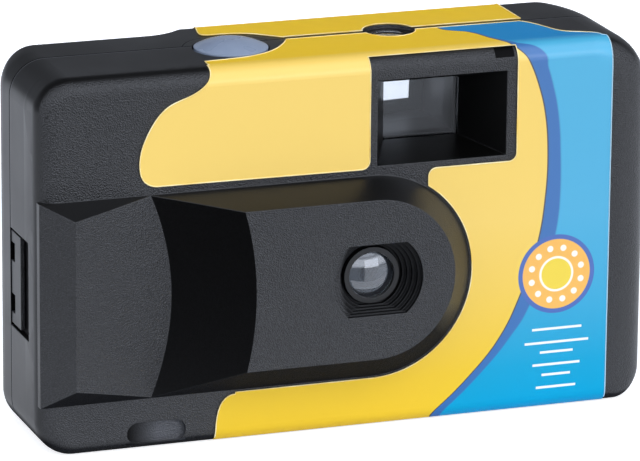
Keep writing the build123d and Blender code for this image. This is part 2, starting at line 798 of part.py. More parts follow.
def finder_rear_lens():
    width = eyepiece_width - 2 * parting_gap
    height = eyepiece_height - 2 * parting_gap
    window = box_between(
        eyepiece_x - width / 2, eyepiece_x + width / 2, inner_rear_y - parting_gap, rear_y - eyepiece_bulge,
        eyepiece_z - height / 2, eyepiece_z + height / 2)
    flange = box_between(
        eyepiece_x - width / 2 - eyepiece_flange, eyepiece_x + width / 2 + eyepiece_flange,
        inner_rear_y - parting_gap - eyepiece_depth / 2, inner_rear_y - parting_gap,
        eyepiece_z - height / 2 - eyepiece_flange, eyepiece_z + height / 2 + eyepiece_flange)
    bulge = Pos(eyepiece_x, rear_y - eyepiece_bulge_radius, eyepiece_z) * Sphere(eyepiece_bulge_radius)
    bulge &= box_between(
        eyepiece_x - width / 2, eyepiece_x + width / 2, inner_rear_y, rear_y, eyepiece_z - height / 2,
        eyepiece_z + height / 2)
    return window + flange + bulge


def counter_window():
    y = parting_y
    top = body_height - counter_recess_depth - parting_gap
    pane = disc_z(counter_window_x, y, counter_window_radius, ceiling_z - piece_gap, top)
    flange = disc_z(
        counter_window_x, y, counter_window_radius + eyepiece_flange, ceiling_z - piece_gap - frame_wall / 2,
        ceiling_z - parting_gap)
    return pane + flange


# Main frame: film gate, light tunnel, decks, chamber walls and finder tube

tunnel_front_width = 13.0
tunnel_front_height = 11.0
front_plate_width = 26.0
front_plate_height = 24.0
front_plate_setback = 3.2
front_plate_y = inner_front_y + front_plate_setback
front_plate_thickness = 1.2
cartridge_wall_x = cartridge_x + cartridge_cap_radius + piece_gap
spool_wall_x = spool_x - roll_radius - 2 * piece_gap
chamber_front_y = inner_front_y + 3 * piece_gap
spool_wall_front_y = chamber_front_y + frame_wall
deck_inner_x = pocket_left - frame_wall - 2 * piece_gap
shelf_drop = 4.2
bearing_shelf_z = film_top - shelf_drop
sprocket_height = 2.8
shelf_thickness = 1.0
deck_end_inset = 5.1
frame_right_x = right_x - deck_end_inset
finder_tube_y0 = finder_lens_y + finder_lens_thickness + piece_gap
finder_tube_y1 = inner_rear_y - eyepiece_depth - piece_gap
post_radius = 1.2
spool_post_radius = 2.0
counter_post_radius = 1.4
lever_lift = 2.4
lever_thickness = 1.5
lever_z = deck_top + lever_lift
lever_pivot_reach = 8.4
lever_pivot_setback = 5.7
metering_pivot_reach = 4.9
metering_pivot_setback = 4.2
pawl_pivot_reach = 15.2
pawl_pivot_setback = 3.3
blade_pivot_reach = 6.6
blade_pivot_drop = 8.3
lever_pivot = (lens_x - lever_pivot_reach, inner_front_y + lever_pivot_setback)
metering_pivot = (lens_x - metering_pivot_reach, parting_y + metering_pivot_setback)
pawl_pivot = (cartridge_x + pawl_pivot_reach, inner_front_y + pawl_pivot_setback)
blade_pivot = (lens_x + blade_pivot_reach, lens_z - blade_pivot_drop)
keeper_lift = 6.8
keeper_thickness = 1.0
keeper_bottom = deck_top + keeper_lift
fork_radius = 3.6
counter_disc_thickness = 0.8
counter_disc_drop = 2.05
counter_disc_z = ceiling_z - counter_disc_drop
bridge_margin = 2.4
bridge_left_x = counter_disc_x - bridge_margin
bridge_reach = 4.0


def light_tunnel(inset):
    gate = facing_front(gate_rear_y + (overrun if inset else 0)) * Pos(lens_x, lens_z) * Rectangle(
        gate_width + 2 * frame_wall - 2 * inset, gate_height + 2 * frame_wall - 2 * inset)
    nose = facing_front(front_plate_y - (overrun if inset else 0)) * Pos(lens_x, lens_z) * Rectangle(
        tunnel_front_width - 2 * inset, tunnel_front_height - 2 * inset)
    return loft([gate.face(), nose.face()])


def finder_tube(inset):
    return box_between(
        finder_left - frame_wall + inset, finder_right + frame_wall - inset, finder_tube_y0 - inset,
        finder_tube_y1 + inset, finder_bottom - frame_wall + inset, finder_top + frame_wall - inset)


def main_frame():
    frame = box_between(cartridge_wall_x, spool_wall_x, gate_front_y, gate_rear_y, frame_floor, deck_bottom)
    frame += box_between(
        cartridge_wall_x, cartridge_wall_x + frame_wall, chamber_front_y, gate_rear_y, frame_floor, deck_bottom)
    frame += box_between(
        spool_wall_x - frame_wall, spool_wall_x, spool_wall_front_y, gate_rear_y, frame_floor, deck_top)
    frame += box_between(
        cartridge_wall_x, right_x - corner_bottom_right - cover_wall, chamber_front_y, gate_rear_y - frame_wall,
        frame_floor, frame_floor + deck_thickness)
    left_deck_x = left_x + cover_wall + cartridge_side_gap
    deck_rear_y = thumb_recess_y - cover_wall - piece_gap
    frame += box_between(left_deck_x, deck_inner_x, chamber_front_y, deck_rear_y, deck_bottom, deck_top)
    frame += box_between(
        recess_curve_end_x + cover_wall + 2 * piece_gap, counter_disc_x, deck_rear_y - overrun, gate_rear_y,
        deck_bottom - overrun / 2, deck_top)
    frame += box_between(
        spool_wall_x - frame_wall, frame_right_x, spool_wall_front_y, gate_rear_y - overrun, deck_bottom, deck_top)
    frame += light_tunnel(0)
    frame += disc_y(lens_x, lens_z, front_plate_width / 2, front_plate_y, front_plate_y + front_plate_thickness) & (
        box_between(
            lens_x - front_plate_width / 2, lens_x + front_plate_width / 2, front_plate_y - overrun,
            front_plate_y + overrun, lens_z - front_plate_height / 2, lens_z + front_plate_height / 2))
    frame -= light_tunnel(frame_wall)
    frame += finder_tube(0)
    frame += box_between(
        bridge_left_x, finder_left, finder_tube_y0, parting_y + bridge_reach, finder_top, finder_top + frame_wall)
    frame -= finder_tube(frame_wall)
    shelf_left = cartridge_wall_x + frame_wall / 2
    shelf_right = sprocket_x + sprocket_shaft_radius + frame_wall
    frame += box_between(
        shelf_left, shelf_right, sprocket_y - sprocket_shaft_radius - frame_wall, gate_front_y + frame_wall / 2,
        bearing_shelf_z - shelf_thickness, bearing_shelf_z)
    tooth_space = sprocket_tip_radius + piece_gap
    frame -= disc_z(
        sprocket_x, sprocket_y, tooth_space, bearing_shelf_z, bearing_shelf_z + sprocket_height + 2 * piece_gap)
    frame -= disc_z(
        sprocket_x, sprocket_y, sprocket_shaft_radius + running_gap, bearing_shelf_z - shelf_thickness,
        deck_top + overrun)
    frame -= disc_z(cartridge_x, cartridge_y, fork_radius + running_gap, deck_bottom - overrun, deck_top + overrun)
    frame -= thumb_recess(cover_wall + piece_gap)
    for pivot in (lever_pivot, metering_pivot):
        frame += disc_z(*pivot, post_radius, deck_top, keeper_bottom + keeper_thickness)
    frame += disc_z(*pawl_pivot, post_radius, deck_top, lever_z + lever_thickness + post_radius)
    frame += disc_z(spool_x, spool_y, spool_post_radius, frame_floor, frame_floor + frame_wall * 4)
    frame += disc_z(spool_x, spool_y, spool_post_radius, deck_bottom - frame_wall * 2, deck_bottom)
    frame += disc_z(
        counter_disc_x, parting_y, counter_post_radius, finder_top, counter_disc_z + counter_disc_thickness)
    frame += disc_y(*blade_pivot, post_radius / 2, front_plate_y - blade_post_length, front_plate_y)
    return frame


blade_post_length = 2.6
baffle_thickness = 0.8
baffle_setback = 10.5
baffle_y = front_plate_y + baffle_setback
baffle_opening_width = 20.0
baffle_opening_height = 14.0


def light_baffle():
    # plate inside the light tunnel that stops stray light
    share = (gate_rear_y - baffle_y) / (gate_rear_y - front_plate_y)
    width = gate_width + (tunnel_front_width - 2 * frame_wall - gate_width) * share - 4 * piece_gap
    height = gate_height + (tunnel_front_height - 2 * frame_wall - gate_height) * share - 4 * piece_gap
    sketch = Pos(lens_x, lens_z) * (
        Rectangle(width, height) - Rectangle(baffle_opening_width, baffle_opening_height))
    return panel_xz(sketch, baffle_y, baffle_y + baffle_thickness)


# Shutter

blade_thickness = 0.5
blade_y = front_plate_y - blade_thickness - piece_gap
blade_disc_radius = 3.6
blade_hub_radius = 1.8
shutter_cover_thickness = 0.8
shutter_cover_y = blade_y - piece_gap - shutter_cover_thickness
shutter_cover_hole = 2.6
shutter_cover_corner = 3.0
shutter_cover_width = 20.0
shutter_cover_height = 22.0


def shutter_blade():
    tip = (lens_x, lens_z)
    hull = make_hull((Pos(*tip) * Circle(blade_disc_radius)).edges() + (
        Pos(*blade_pivot) * Circle(blade_hub_radius)).edges())
    blade = panel_xz(hull, blade_y, blade_y + blade_thickness)
    return blade - disc_y(*blade_pivot, post_radius / 2 + running_gap, blade_y - overrun, blade_y + overrun)


def shutter_cover():
    middle = Pos((lens_x + blade_pivot[0]) / 2, (lens_z + blade_pivot[1]) / 2)
    sketch = middle * RectangleRounded(shutter_cover_width, shutter_cover_height, shutter_cover_corner)
    sketch -= Pos(lens_x, lens_z) * Circle(shutter_cover_hole)
    sketch -= Pos(*blade_pivot) * Circle(post_radius / 2 + running_gap)
    return panel_xz(sketch, shutter_cover_y, shutter_cover_y + shutter_cover_thickness)


blade_spring_width = 0.6
blade_spring_length = 9.0


def blade_spring():
    # thin leaf beside the blade, anchored at the shutter cover's lower edge
    x0 = blade_pivot[0] + blade_hub_radius + 4 * piece_gap
    z0 = blade_pivot[1] - blade_hub_radius
    return box_between(
        x0, x0 + blade_spring_width, blade_y, blade_y + blade_thickness, z0, z0 + blade_spring_length)


# Film and cartridge

lip_length = 10.0
felt_thickness = 0.35
felt_length = 5.0
cap_height = 3.0
cap_hole_gap = 0.3


def film_path():
    # strip from the cartridge slot across the gate to the roll
    start = cartridge_x + hub_radius
    bend = spool_x - roll_radius + piece_gap * 6
    roll_top = spool_y + roll_radius + piece_gap
    points = [
        (start, film_y), (bend, film_y), (spool_x, roll_top), (spool_x, roll_top + film_thickness),
        (bend, film_y + film_thickness), (start, film_y + film_thickness)]
    return extrude(Pos(0, 0, film_bottom) * polygon(points), film_width)


def slot_box(thickness, length, z0, z1):
    x1 = cartridge_wall_x - piece_gap / 2
    middle = film_y + film_thickness / 2
    return box_between(x1 - length, x1, middle - thickness / 2, middle + thickness / 2, z0, z1)


def cartridge_shell():
    z0 = cartridge_bottom + cartridge_sheet + piece_gap / 2
    z1 = cartridge_top - cartridge_sheet - piece_gap / 2
    tube = disc_z(cartridge_x, cartridge_y, cartridge_radius - piece_gap / 2, z0, z1)
    opening = film_thickness + 2 * felt_thickness + piece_gap
    tube += slot_box(opening + 2 * cartridge_sheet, lip_length, z0 + cap_height, z1 - cap_height)
    tube -= disc_z(
        cartridge_x, cartridge_y, cartridge_radius - piece_gap / 2 - cartridge_sheet, z0 - overrun, z1 + overrun)
    return tube - slot_box(opening, lip_length + overrun, z0 + cap_height + piece_gap, z1 - cap_height - piece_gap)


def light_trap_felt():
    z0 = film_bottom - piece_gap
    z1 = film_top + piece_gap
    gap = film_thickness + running_gap * 2
    strips = slot_box(gap + 2 * felt_thickness, felt_length, z0, z1)
    return strips - slot_box(gap, lip_length, z0 - overrun, z1 + overrun)


def cartridge_caps():
    caps = []
    for z0, z1, lip_z in (
            (cartridge_bottom, cartridge_bottom + cap_height, cartridge_bottom + cartridge_sheet),
            (cartridge_top - cap_height, cartridge_top, cartridge_top - cap_height - overrun)):
        cap = disc_z(cartridge_x, cartridge_y, cartridge_cap_radius, z0, z1)
        hollow_top = lip_z + cap_height + overrun - cartridge_sheet
        cap -= disc_z(cartridge_x, cartridge_y, cartridge_cap_radius - cartridge_sheet, lip_z, hollow_top)
        cap -= disc_z(cartridge_x, cartridge_y, hub_radius + cap_hole_gap, z0 - overrun, z1 + overrun)
        caps.append(cap)
    return Compound(caps)


spool_hub_stand = 0.4
socket_radius = 4.0
socket_depth = 5.0
key_width = 1.4
key_gap = 0.3
hub_core_radius = 4.6


def cartridge_spool():
    z0 = cartridge_bottom - spool_hub_stand + piece_gap
    z1 = cartridge_top + spool_hub_stand - piece_gap / 2
    spool = disc_z(cartridge_x, cartridge_y, hub_radius, z0, z0 + cap_height * 2)
    spool += disc_z(cartridge_x, cartridge_y, hub_core_radius, z0, z1)
    spool += disc_z(cartridge_x, cartridge_y, hub_radius, z1 - cap_height * 3, z1)
    spool -= disc_z(cartridge_x, cartridge_y, socket_radius, z1 - socket_depth, z1 + overrun)
    key = box_between(
        cartridge_x - socket_radius - piece_gap, cartridge_x + socket_radius + piece_gap,
        cartridge_y - key_width / 2, cartridge_y + key_width / 2, z1 - socket_depth - piece_gap,
        z1 - socket_depth / 2)
    return spool + key


wheel_teeth = 48
wheel_tooth_depth = 0.7
wheel_stub_radius = 2.0


def toothed_disc(x, y, tip_radius, root_radius, teeth, z0, z1):
    points = []
    for index in range(teeth):
        for offset, radius in ((0, root_radius), (1 / 4, tip_radius), (1 / 2, tip_radius), (3 / 4, root_radius)):
            angle = 2 * math.pi * (index + offset) / teeth
            points.append((x + radius * math.cos(angle), y + radius * math.sin(angle)))
    return extrude(Pos(0, 0, z0) * polygon(points), z1 - z0)


def thumbwheel():
    wheel = toothed_disc(
        cartridge_x, cartridge_y, thumbwheel_radius, thumbwheel_radius - wheel_tooth_depth, wheel_teeth,
        thumbwheel_bottom, thumbwheel_top)
    wheel += disc_z(cartridge_x, cartridge_y, wheel_stub_radius, thumbwheel_top, ceiling_z - piece_gap)
    spool_top = cartridge_top + spool_hub_stand - piece_gap / 2
    stem_bottom = spool_top - socket_depth / 2 - cap_height / 2
    stem = disc_z(cartridge_x, cartridge_y, fork_radius, stem_bottom, thumbwheel_bottom)
    stem -= box_between(
        cartridge_x - fork_radius, cartridge_x + fork_radius, cartridge_y - key_width / 2 - key_gap,
        cartridge_y + key_width / 2 + key_gap, stem_bottom - overrun, spool_top - socket_depth / 2 + key_gap)
    return wheel + stem


def supply_spool():
    z0 = film_bottom - flange_thickness - piece_gap
    z1 = film_top + flange_thickness + piece_gap
    spool = disc_z(spool_x, spool_y, spool_core_radius, z0 - overrun, z1 + overrun)
    spool += disc_z(spool_x, spool_y, roll_radius, z0, z0 + flange_thickness)
    spool += disc_z(spool_x, spool_y, roll_radius, z1 - flange_thickness, z1)
    return spool - disc_z(spool_x, spool_y, spool_post_radius + running_gap, z0 - 2 * overrun, z1 + 2 * overrun)


flange_thickness = 1.0


def film_roll():
    return ring_z(
        spool_x, spool_y, roll_radius, spool_core_radius + running_gap, film_bottom, film_top)


# Film counter drive and trip mechanism

cam_radius = 2.6
cam_notch_radius = 0.9
sprocket_teeth = 8
sprocket_root_radius = 5.7


def sprocket_shaft():
    z0 = bearing_shelf_z + piece_gap / 2
    shaft = disc_z(
        sprocket_x, sprocket_y, sprocket_shaft_radius, bearing_shelf_z - shelf_thickness / 2,
        lever_z + lever_thickness + piece_gap)
    shaft += toothed_disc(
        sprocket_x, sprocket_y, sprocket_tip_radius, sprocket_root_radius, sprocket_teeth, z0,
        z0 + sprocket_height)
    cam = disc_z(sprocket_x, sprocket_y, cam_radius, lever_z, lever_z + lever_thickness)
    cam -= disc_z(sprocket_x, sprocket_y - cam_radius, cam_notch_radius, lever_z - overrun, lever_z + overrun * 2)
    return shaft + cam


counter_tooth_depth = 0.6
counter_teeth = 50


def counter_disc():
    disc = toothed_disc(
        counter_disc_x, parting_y, counter_disc_radius, counter_disc_radius - counter_tooth_depth, counter_teeth,
        counter_disc_z, counter_disc_z + counter_disc_thickness)
    return disc - disc_z(
        counter_disc_x, parting_y, counter_post_radius + running_gap, counter_disc_z - overrun,
        counter_disc_z + overrun)


def pivoted_arm(pivot, tip, round_radius, tip_radius):
    arm = arm_z(pivot, tip, round_radius, tip_radius, lever_z, lever_z + lever_thickness)
    return arm - disc_z(*pivot, post_radius + running_gap, lever_z - overrun, lever_z + overrun * 2)


lever_hub_radius = 2.4
lever_length = 9.0
lever_tip_radius = 1.2


def high_energy_lever():
    tip = (lever_pivot[0] - lever_length, lever_pivot[1] - lever_tip_radius)
    return pivoted_arm(lever_pivot, tip, lever_hub_radius, lever_tip_radius)


metering_tip_radius = 0.7


def metering_lever():
    tip = (sprocket_x + cam_radius + metering_tip_radius + piece_gap, sprocket_y)
    return pivoted_arm(metering_pivot, tip, lever_hub_radius, metering_tip_radius)


pawl_tip_radius = 0.5
pawl_hub_radius = 2.0
pawl_angle = -38.0


def anti_backup_pawl():
    reach = thumbwheel_radius + pawl_tip_radius + piece_gap
    angle = math.radians(pawl_angle)
    tip = (cartridge_x + reach * math.cos(angle), cartridge_y + reach * math.sin(angle))
    return pivoted_arm(pawl_pivot, tip, pawl_hub_radius, pawl_tip_radius)


spring_wire_radius = 0.25
spring_turns = 4
spring_radius = 1.9


def torsion_spring(pivot):
    z0 = lever_z + lever_thickness + piece_gap
    return coil_z(*pivot, spring_radius, spring_wire_radius, z0, keeper_bottom - piece_gap, spring_turns)


keeper_corner = 2.0
keeper_right_margin = 3.5
keeper_front_margin = 3.4
keeper_rear_margin = 2.2
keeper_left = button_x + button_flange_radius + piece_gap
keeper_right = metering_pivot[0] + keeper_right_margin
keeper_front = lever_pivot[1] - keeper_front_margin
keeper_rear = metering_pivot[1] + keeper_rear_margin


def keeper_plate():
    sketch = Pos((keeper_left + keeper_right) / 2, (keeper_front + keeper_rear) / 2) * RectangleRounded(
        keeper_right - keeper_left, keeper_rear - keeper_front, keeper_corner)
    for pivot in (lever_pivot, metering_pivot):
        sketch -= Pos(*pivot) * Circle(post_radius + running_gap)
    return extrude(Pos(0, 0, keeper_bottom) * sketch, keeper_thickness)


# Shutter button

button_dome = 1.5
button_flange_thickness = 1.2
button_stem_radius = 2.0
button_stem_gap = 1.0
button_dome_base = 0.2
button_spring_radius = 2.8
button_spring_wire = 0.3
button_spring_turns = 5


def shutter_button():
    top = body_height + button_dome_base
    flange_top = ceiling_z - piece_gap
    cap = disc_z(button_x, button_y, button_radius, flange_top, top)
    cap += disc_z(button_x, button_y, button_flange_radius, flange_top - button_flange_thickness, flange_top)
    sphere_radius = (button_radius ** 2 + button_dome ** 2) / (2 * button_dome)
    dome = Pos(button_x, button_y, top + button_dome - sphere_radius) * Sphere(sphere_radius)
    cap += dome & disc_z(button_x, button_y, button_radius, top - button_dome_base, top + button_dome + overrun)
    stem_bottom = deck_top + button_travel + button_stem_gap
    cap += disc_z(button_x, button_y, button_stem_radius, stem_bottom, flange_top)
    return cap


def button_spring():
    top = ceiling_z - piece_gap - button_flange_thickness - running_gap
    return coil_z(
        button_x, button_y, button_spring_radius, button_spring_wire, deck_top + running_gap, top,
        button_spring_turns)


pieces = {
    "front_cover": front_cover,
    "rear_cover": rear_cover,
    "main_frame": main_frame,
    "front_label": front_label,
    "rear_label": rear_label,
    "taking_lens": taking_lens,
    "lens_ring": lens_ring,
    "aperture_disc": aperture_disc,
    "finder_front_lens": finder_front_lens,
    "finder_rear_lens": finder_rear_lens,
    "counter_window": counter_window,
    "counter_disc": counter_disc,
    "keeper_plate": keeper_plate,
    "light_baffle": light_baffle,
    "shutter_cover": shutter_cover,
    "shutter_blade": shutter_blade,
    "blade_spring": blade_spring,
    "cartridge_shell": cartridge_shell,
    "cartridge_caps": cartridge_caps,
    "light_trap_felt": light_trap_felt,
    "cartridge_spool": cartridge_spool,
    "film_strip": film_path,
    "film_roll": film_roll,
    "supply_spool": supply_spool,
    "thumbwheel": thumbwheel,
    "sprocket_shaft": sprocket_shaft,
    "high_energy_lever": high_energy_lever,
    "lever_spring": lambda: torsion_spring(lever_pivot),
    "metering_lever": metering_lever,
    "metering_spring": lambda: torsion_spring(metering_pivot),
    "anti_backup_pawl": anti_backup_pawl,
    "shutter_button": shutter_button,
    "button_spring": button_spring,
    "cartridge_door": cartridge_door,
}

for name, make in pieces.items():
    export_step(make(), f"parts/{name}.step")
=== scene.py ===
import math

import bmesh
import bpy
from mathutils import Matrix, Vector


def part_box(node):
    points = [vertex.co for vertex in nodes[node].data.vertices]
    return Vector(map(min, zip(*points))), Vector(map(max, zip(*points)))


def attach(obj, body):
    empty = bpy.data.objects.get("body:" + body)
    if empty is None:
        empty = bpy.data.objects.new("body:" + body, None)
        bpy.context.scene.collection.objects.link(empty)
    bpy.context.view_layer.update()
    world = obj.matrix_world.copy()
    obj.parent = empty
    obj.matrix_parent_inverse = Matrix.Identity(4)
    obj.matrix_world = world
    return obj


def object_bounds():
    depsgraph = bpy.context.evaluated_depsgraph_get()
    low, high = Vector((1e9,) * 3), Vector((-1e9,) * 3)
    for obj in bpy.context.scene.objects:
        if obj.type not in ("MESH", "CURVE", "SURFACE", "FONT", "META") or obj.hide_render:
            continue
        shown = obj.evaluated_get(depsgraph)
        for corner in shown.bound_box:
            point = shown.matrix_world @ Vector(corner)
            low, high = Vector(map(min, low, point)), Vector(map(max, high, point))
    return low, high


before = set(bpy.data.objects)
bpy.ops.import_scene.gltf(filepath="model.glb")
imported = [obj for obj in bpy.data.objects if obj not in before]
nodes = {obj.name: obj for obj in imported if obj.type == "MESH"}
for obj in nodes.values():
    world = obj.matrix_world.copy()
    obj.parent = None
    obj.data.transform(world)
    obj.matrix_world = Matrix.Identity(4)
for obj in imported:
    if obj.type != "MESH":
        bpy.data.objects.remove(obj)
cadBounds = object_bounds()
print("frame loaded:", len(nodes), "nodes")


# small helpers for shader trees

# a colour as a screen shows it, 0 to 255
def srgb(red, green, blue):
    def linear(value):
        value /= 255
        return value / 12.92 if value <= 0.04045 else ((value + 0.055) / 1.055) ** 2.4
    return (linear(red), linear(green), linear(blue), 1)


def addNode(tree, kind, inputs=None, **settings):
    node = tree.nodes.new(kind)
    for name, value in settings.items():
        setattr(node, name, value)
    for key, value in (inputs or {}).items():
        if isinstance(value, bpy.types.NodeSocket):
            tree.links.new(value, node.inputs[key])
        else:
            node.inputs[key].default_value = value
    return node


def calc(tree, operation, *values):
    return addNode(tree, "ShaderNodeMath", dict(enumerate(values)), operation=operation).outputs[0]


def blendColour(tree, factor, first, second):
    return addNode(tree, "ShaderNodeMix", {0: factor, 6: first, 7: second}, data_type="RGBA").outputs[2]


def ramp(tree, value, low, high, toLow=0.0, toHigh=1.0):
    return addNode(tree, "ShaderNodeMapRange", {
        "Value": value, "From Min": low, "From Max": high, "To Min": toLow, "To Max": toHigh}).outputs[0]


def product(tree, first, *others):
    for value in others:
        first = calc(tree, "MULTIPLY", first, value)
    return first


def blendValue(tree, factor, first, second):
    return addNode(tree, "ShaderNodeMix", {0: factor, 2: first, 3: second}, data_type="FLOAT").outputs[0]


# 1 where the value lies inside the span, 0 outside
def insideSpan(tree, value, span, soft=0.00003):
    above = ramp(tree, value, span[0] - soft, span[0] + soft)
    below = ramp(tree, value, span[1] + soft, span[1] - soft)
    return calc(tree, "MULTIPLY", above, below)


def distanceTo(tree, x, z, centre):
    acrossX = calc(tree, "SUBTRACT", x, centre[0])
    acrossZ = calc(tree, "SUBTRACT", z, centre[1])
    return calc(tree, "SQRT", calc(
        tree, "ADD", calc(tree, "MULTIPLY", acrossX, acrossX), calc(tree, "MULTIPLY", acrossZ, acrossZ)))


def objectPlace(tree):
    place = addNode(tree, "ShaderNodeTexCoord").outputs["Object"]
    return addNode(tree, "ShaderNodeSeparateXYZ", {0: place}).outputs


def centreOf(name):
    low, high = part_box(name)
    return (Vector(low) + Vector(high)) / 2


def makeGroup(name, inputs, outputs):
    group = bpy.data.node_groups.new(name, "ShaderNodeTree")
    for label, kind, value in inputs:
        socket = group.interface.new_socket(name=label, in_out="INPUT", socket_type=kind)
        socket.default_value = value
    for label, kind in outputs:
        group.interface.new_socket(name=label, in_out="OUTPUT", socket_type=kind)
    return group, group.nodes.new("NodeGroupInput").outputs, group.nodes.new("NodeGroupOutput")


def useGroup(tree, group, **inputs):
    node = addNode(tree, "ShaderNodeGroup", node_tree=group)
    for name, value in inputs.items():
        if isinstance(value, bpy.types.NodeSocket):
            tree.links.new(value, node.inputs[name])
        else:
            node.inputs[name].default_value = value
    return node.outputs


# shared effects

def buildGrain():
    group, given, result = makeGroup(
        "mouldedGrain", [("Scale", "NodeSocketFloat", 2500.0), ("Mottle", "NodeSocketFloat", 60.0)],
        [("Height", "NodeSocketFloat"), ("Tone", "NodeSocketFloat"), ("Patch", "NodeSocketFloat")])
    softShare, toneSpan, patchSpan = 0.6, (0.35, 0.65), (0.3, 0.7)
    place = addNode(group, "ShaderNodeTexCoord").outputs["Object"]
    fine = addNode(group, "ShaderNodeTexNoise", {"Vector": place, "Scale": given["Scale"], "Detail": 2.0})
    pits = addNode(group, "ShaderNodeTexVoronoi", {"Vector": place, "Scale": given["Scale"]})
    large = addNode(group, "ShaderNodeTexNoise", {"Vector": place, "Scale": given["Mottle"], "Detail": 3.0})
    height = calc(group, "MULTIPLY_ADD", fine.outputs[0], softShare, pits.outputs["Distance"])
    group.links.new(height, result.inputs["Height"])
    group.links.new(ramp(group, fine.outputs[0], *toneSpan), result.inputs["Tone"])
    group.links.new(ramp(group, large.outputs[0], *patchSpan), result.inputs["Patch"])
    return group


def buildRoundEdge():
    group, given, result = makeGroup(
        "roundEdge", [("Radius", "NodeSocketFloat", 0.0002)],
        [("Normal", "NodeSocketVector"), ("Edge", "NodeSocketFloat")])
    rounded = addNode(group, "ShaderNodeBevel", {"Radius": given["Radius"]}, samples=6).outputs[0]
    flat = addNode(group, "ShaderNodeNewGeometry").outputs["Normal"]
    match = addNode(group, "ShaderNodeVectorMath", {0: rounded, 1: flat}, operation="DOT_PRODUCT")
    group.links.new(rounded, result.inputs["Normal"])
    edgeSpan = (0.995, 0.93)  # from a flat face to an edge
    group.links.new(ramp(group, match.outputs["Value"], *edgeSpan), result.inputs["Edge"])
    return group


grainGroup = buildGrain()
edgeGroup = buildRoundEdge()


def startMaterial(name):
    material = bpy.data.materials.new(name)
    material.use_nodes = True
    tree = material.node_tree
    return material, tree, tree.nodes["Principled BSDF"]


def dress(material, *names):
    for name in names:
        piece = nodes[name]
        piece.data.materials.clear()
        piece.data.materials.append(material)


# black moulded plastic of the covers

lensCentre = centreOf("taking_lens")
coverPlastic = {
    # the hollow colour below is painted shade, and the edge and lip colours are painted highlights
    "smooth": srgb(6, 6, 7), "grained": srgb(14, 14, 15), "speck": srgb(50, 51, 55), "hollow": srgb(2, 2, 2),
    "grainScale": 4200.0, "grainHeight": 0.00013, "grainAmount": 0.6, "roughness": (0.3, 0.38),
    "grainRoughness": 0.33, "edgeRadius": 0.00028, "edgeHighlightColour": srgb(40, 41, 44), "edgeHighlightAmount": 0.5,
    "seamY": 0.004, "seamHalf": 0.00014, "seamLip": 0.0004, "seamColour": srgb(2, 2, 2),
    "lipHighlight": srgb(64, 67, 74), "specular": 0.5, "dull": 0.12, "underRoughness": 0.75, "seamRoughness": 1.0,
    "frontFacing": (-0.45, -0.8), "underFacing": (-0.25, -0.5), "bump": 0.8}
coverHollows = {
    "soft": 0.0002, "notchX": (0.0248, 0.0282), "notchZ": 0.0621, "notchY": -0.0090,
    "pocketX": (0.0035, 0.0274), "pocketZ": (0.0452, 0.0602), "pocketY": -0.0120,
    "wellRadius": 0.0082, "wellY": -0.01735, "wellLeft": (-0.0057, -0.0047), "wellDull": 0.75, "wellDark": 0.8,
    "valleyAxis": (-0.0720, lensCentre.z - 0.0008), "valleySoft": (0.0385, 0.0402), "valleyEnd": 0.0532,
    "valleyY": -0.0122, "valleyFacingX": (-0.05, -0.12), "valleyFacingY": (-0.6, -0.75), "valleyDark": 0.9,
    "nailX": (-0.0395, -0.0293), "nailZ": (0.0011, 0.0049), "nailY": -0.0119,
    "nailLightFade": (-0.0395, -0.0340), "nailLitColour": srgb(66, 68, 74)}


# paints shade into the hood notch, finder pocket, lens well, grip valley and nail notch, which the light hardly
# reaches, and a painted highlight on the lit end of the nail notch
def shadeHollows(tree, colour, dull, front, facing, values):
    x, y, z = objectPlace(tree)
    soft = values["soft"]
    notch = product(
        tree, insideSpan(tree, x, values["notchX"]),
        ramp(tree, z, values["notchZ"], values["notchZ"] + soft / 2),
        ramp(tree, y, values["notchY"], values["notchY"] - soft))
    pocket = product(
        tree, insideSpan(tree, x, values["pocketX"]), insideSpan(tree, z, values["pocketZ"]),
        ramp(tree, y, values["pocketY"], values["pocketY"] + soft))
    fromLens = distanceTo(tree, x, z, (lensCentre.x, lensCentre.z))
    well = product(
        tree, calc(tree, "LESS_THAN", fromLens, values["wellRadius"]),
        ramp(tree, y, values["wellY"], values["wellY"] + soft / 2),
        ramp(tree, x, *(lensCentre.x + side for side in values["wellLeft"])))
    reach = distanceTo(tree, x, z, values["valleyAxis"])
    valley = product(
        tree, ramp(tree, reach, *values["valleySoft"]), calc(tree, "LESS_THAN", reach, values["valleyEnd"]),
        ramp(tree, y, values["valleyY"], values["valleyY"] - soft / 2),
        ramp(tree, facing[0], *values["valleyFacingX"]), ramp(tree, facing[1], *values["valleyFacingY"]),
        values["valleyDark"])
    nail = product(
        tree, insideSpan(tree, x, values["nailX"]), insideSpan(tree, z, values["nailZ"]),
        ramp(tree, y, values["nailY"] - soft / 2, values["nailY"] + soft / 2))
    # painted light on the nail notch: its floor lightens towards the right end and is painted shade at the left
    lit = ramp(tree, x, *values["nailLightFade"])
    colour = blendColour(tree, calc(tree, "MULTIPLY", nail, lit), colour, values["nailLitColour"])
    nail = calc(tree, "MULTIPLY", nail, calc(tree, "SUBTRACT", 1.0, lit))
    # painted shade: these hollows get a near-black colour and less shine
    dulledShade = calc(tree, "MAXIMUM", calc(tree, "MAXIMUM", notch, valley), nail)
    dark = calc(tree, "MAXIMUM", pocket, calc(tree, "MULTIPLY", well, values["wellDark"]))
    paintedShade = calc(tree, "MAXIMUM", dulledShade, dark)
    colour = blendColour(tree, paintedShade, colour, values["hollow"])
    dulledShade = calc(tree, "MAXIMUM", dulledShade, calc(tree, "MULTIPLY", well, values["wellDull"]))
    return colour, calc(tree, "MAXIMUM", dull, dulledShade), product(tree, front, calc(tree, "SUBTRACT", 1.0, paintedShade))


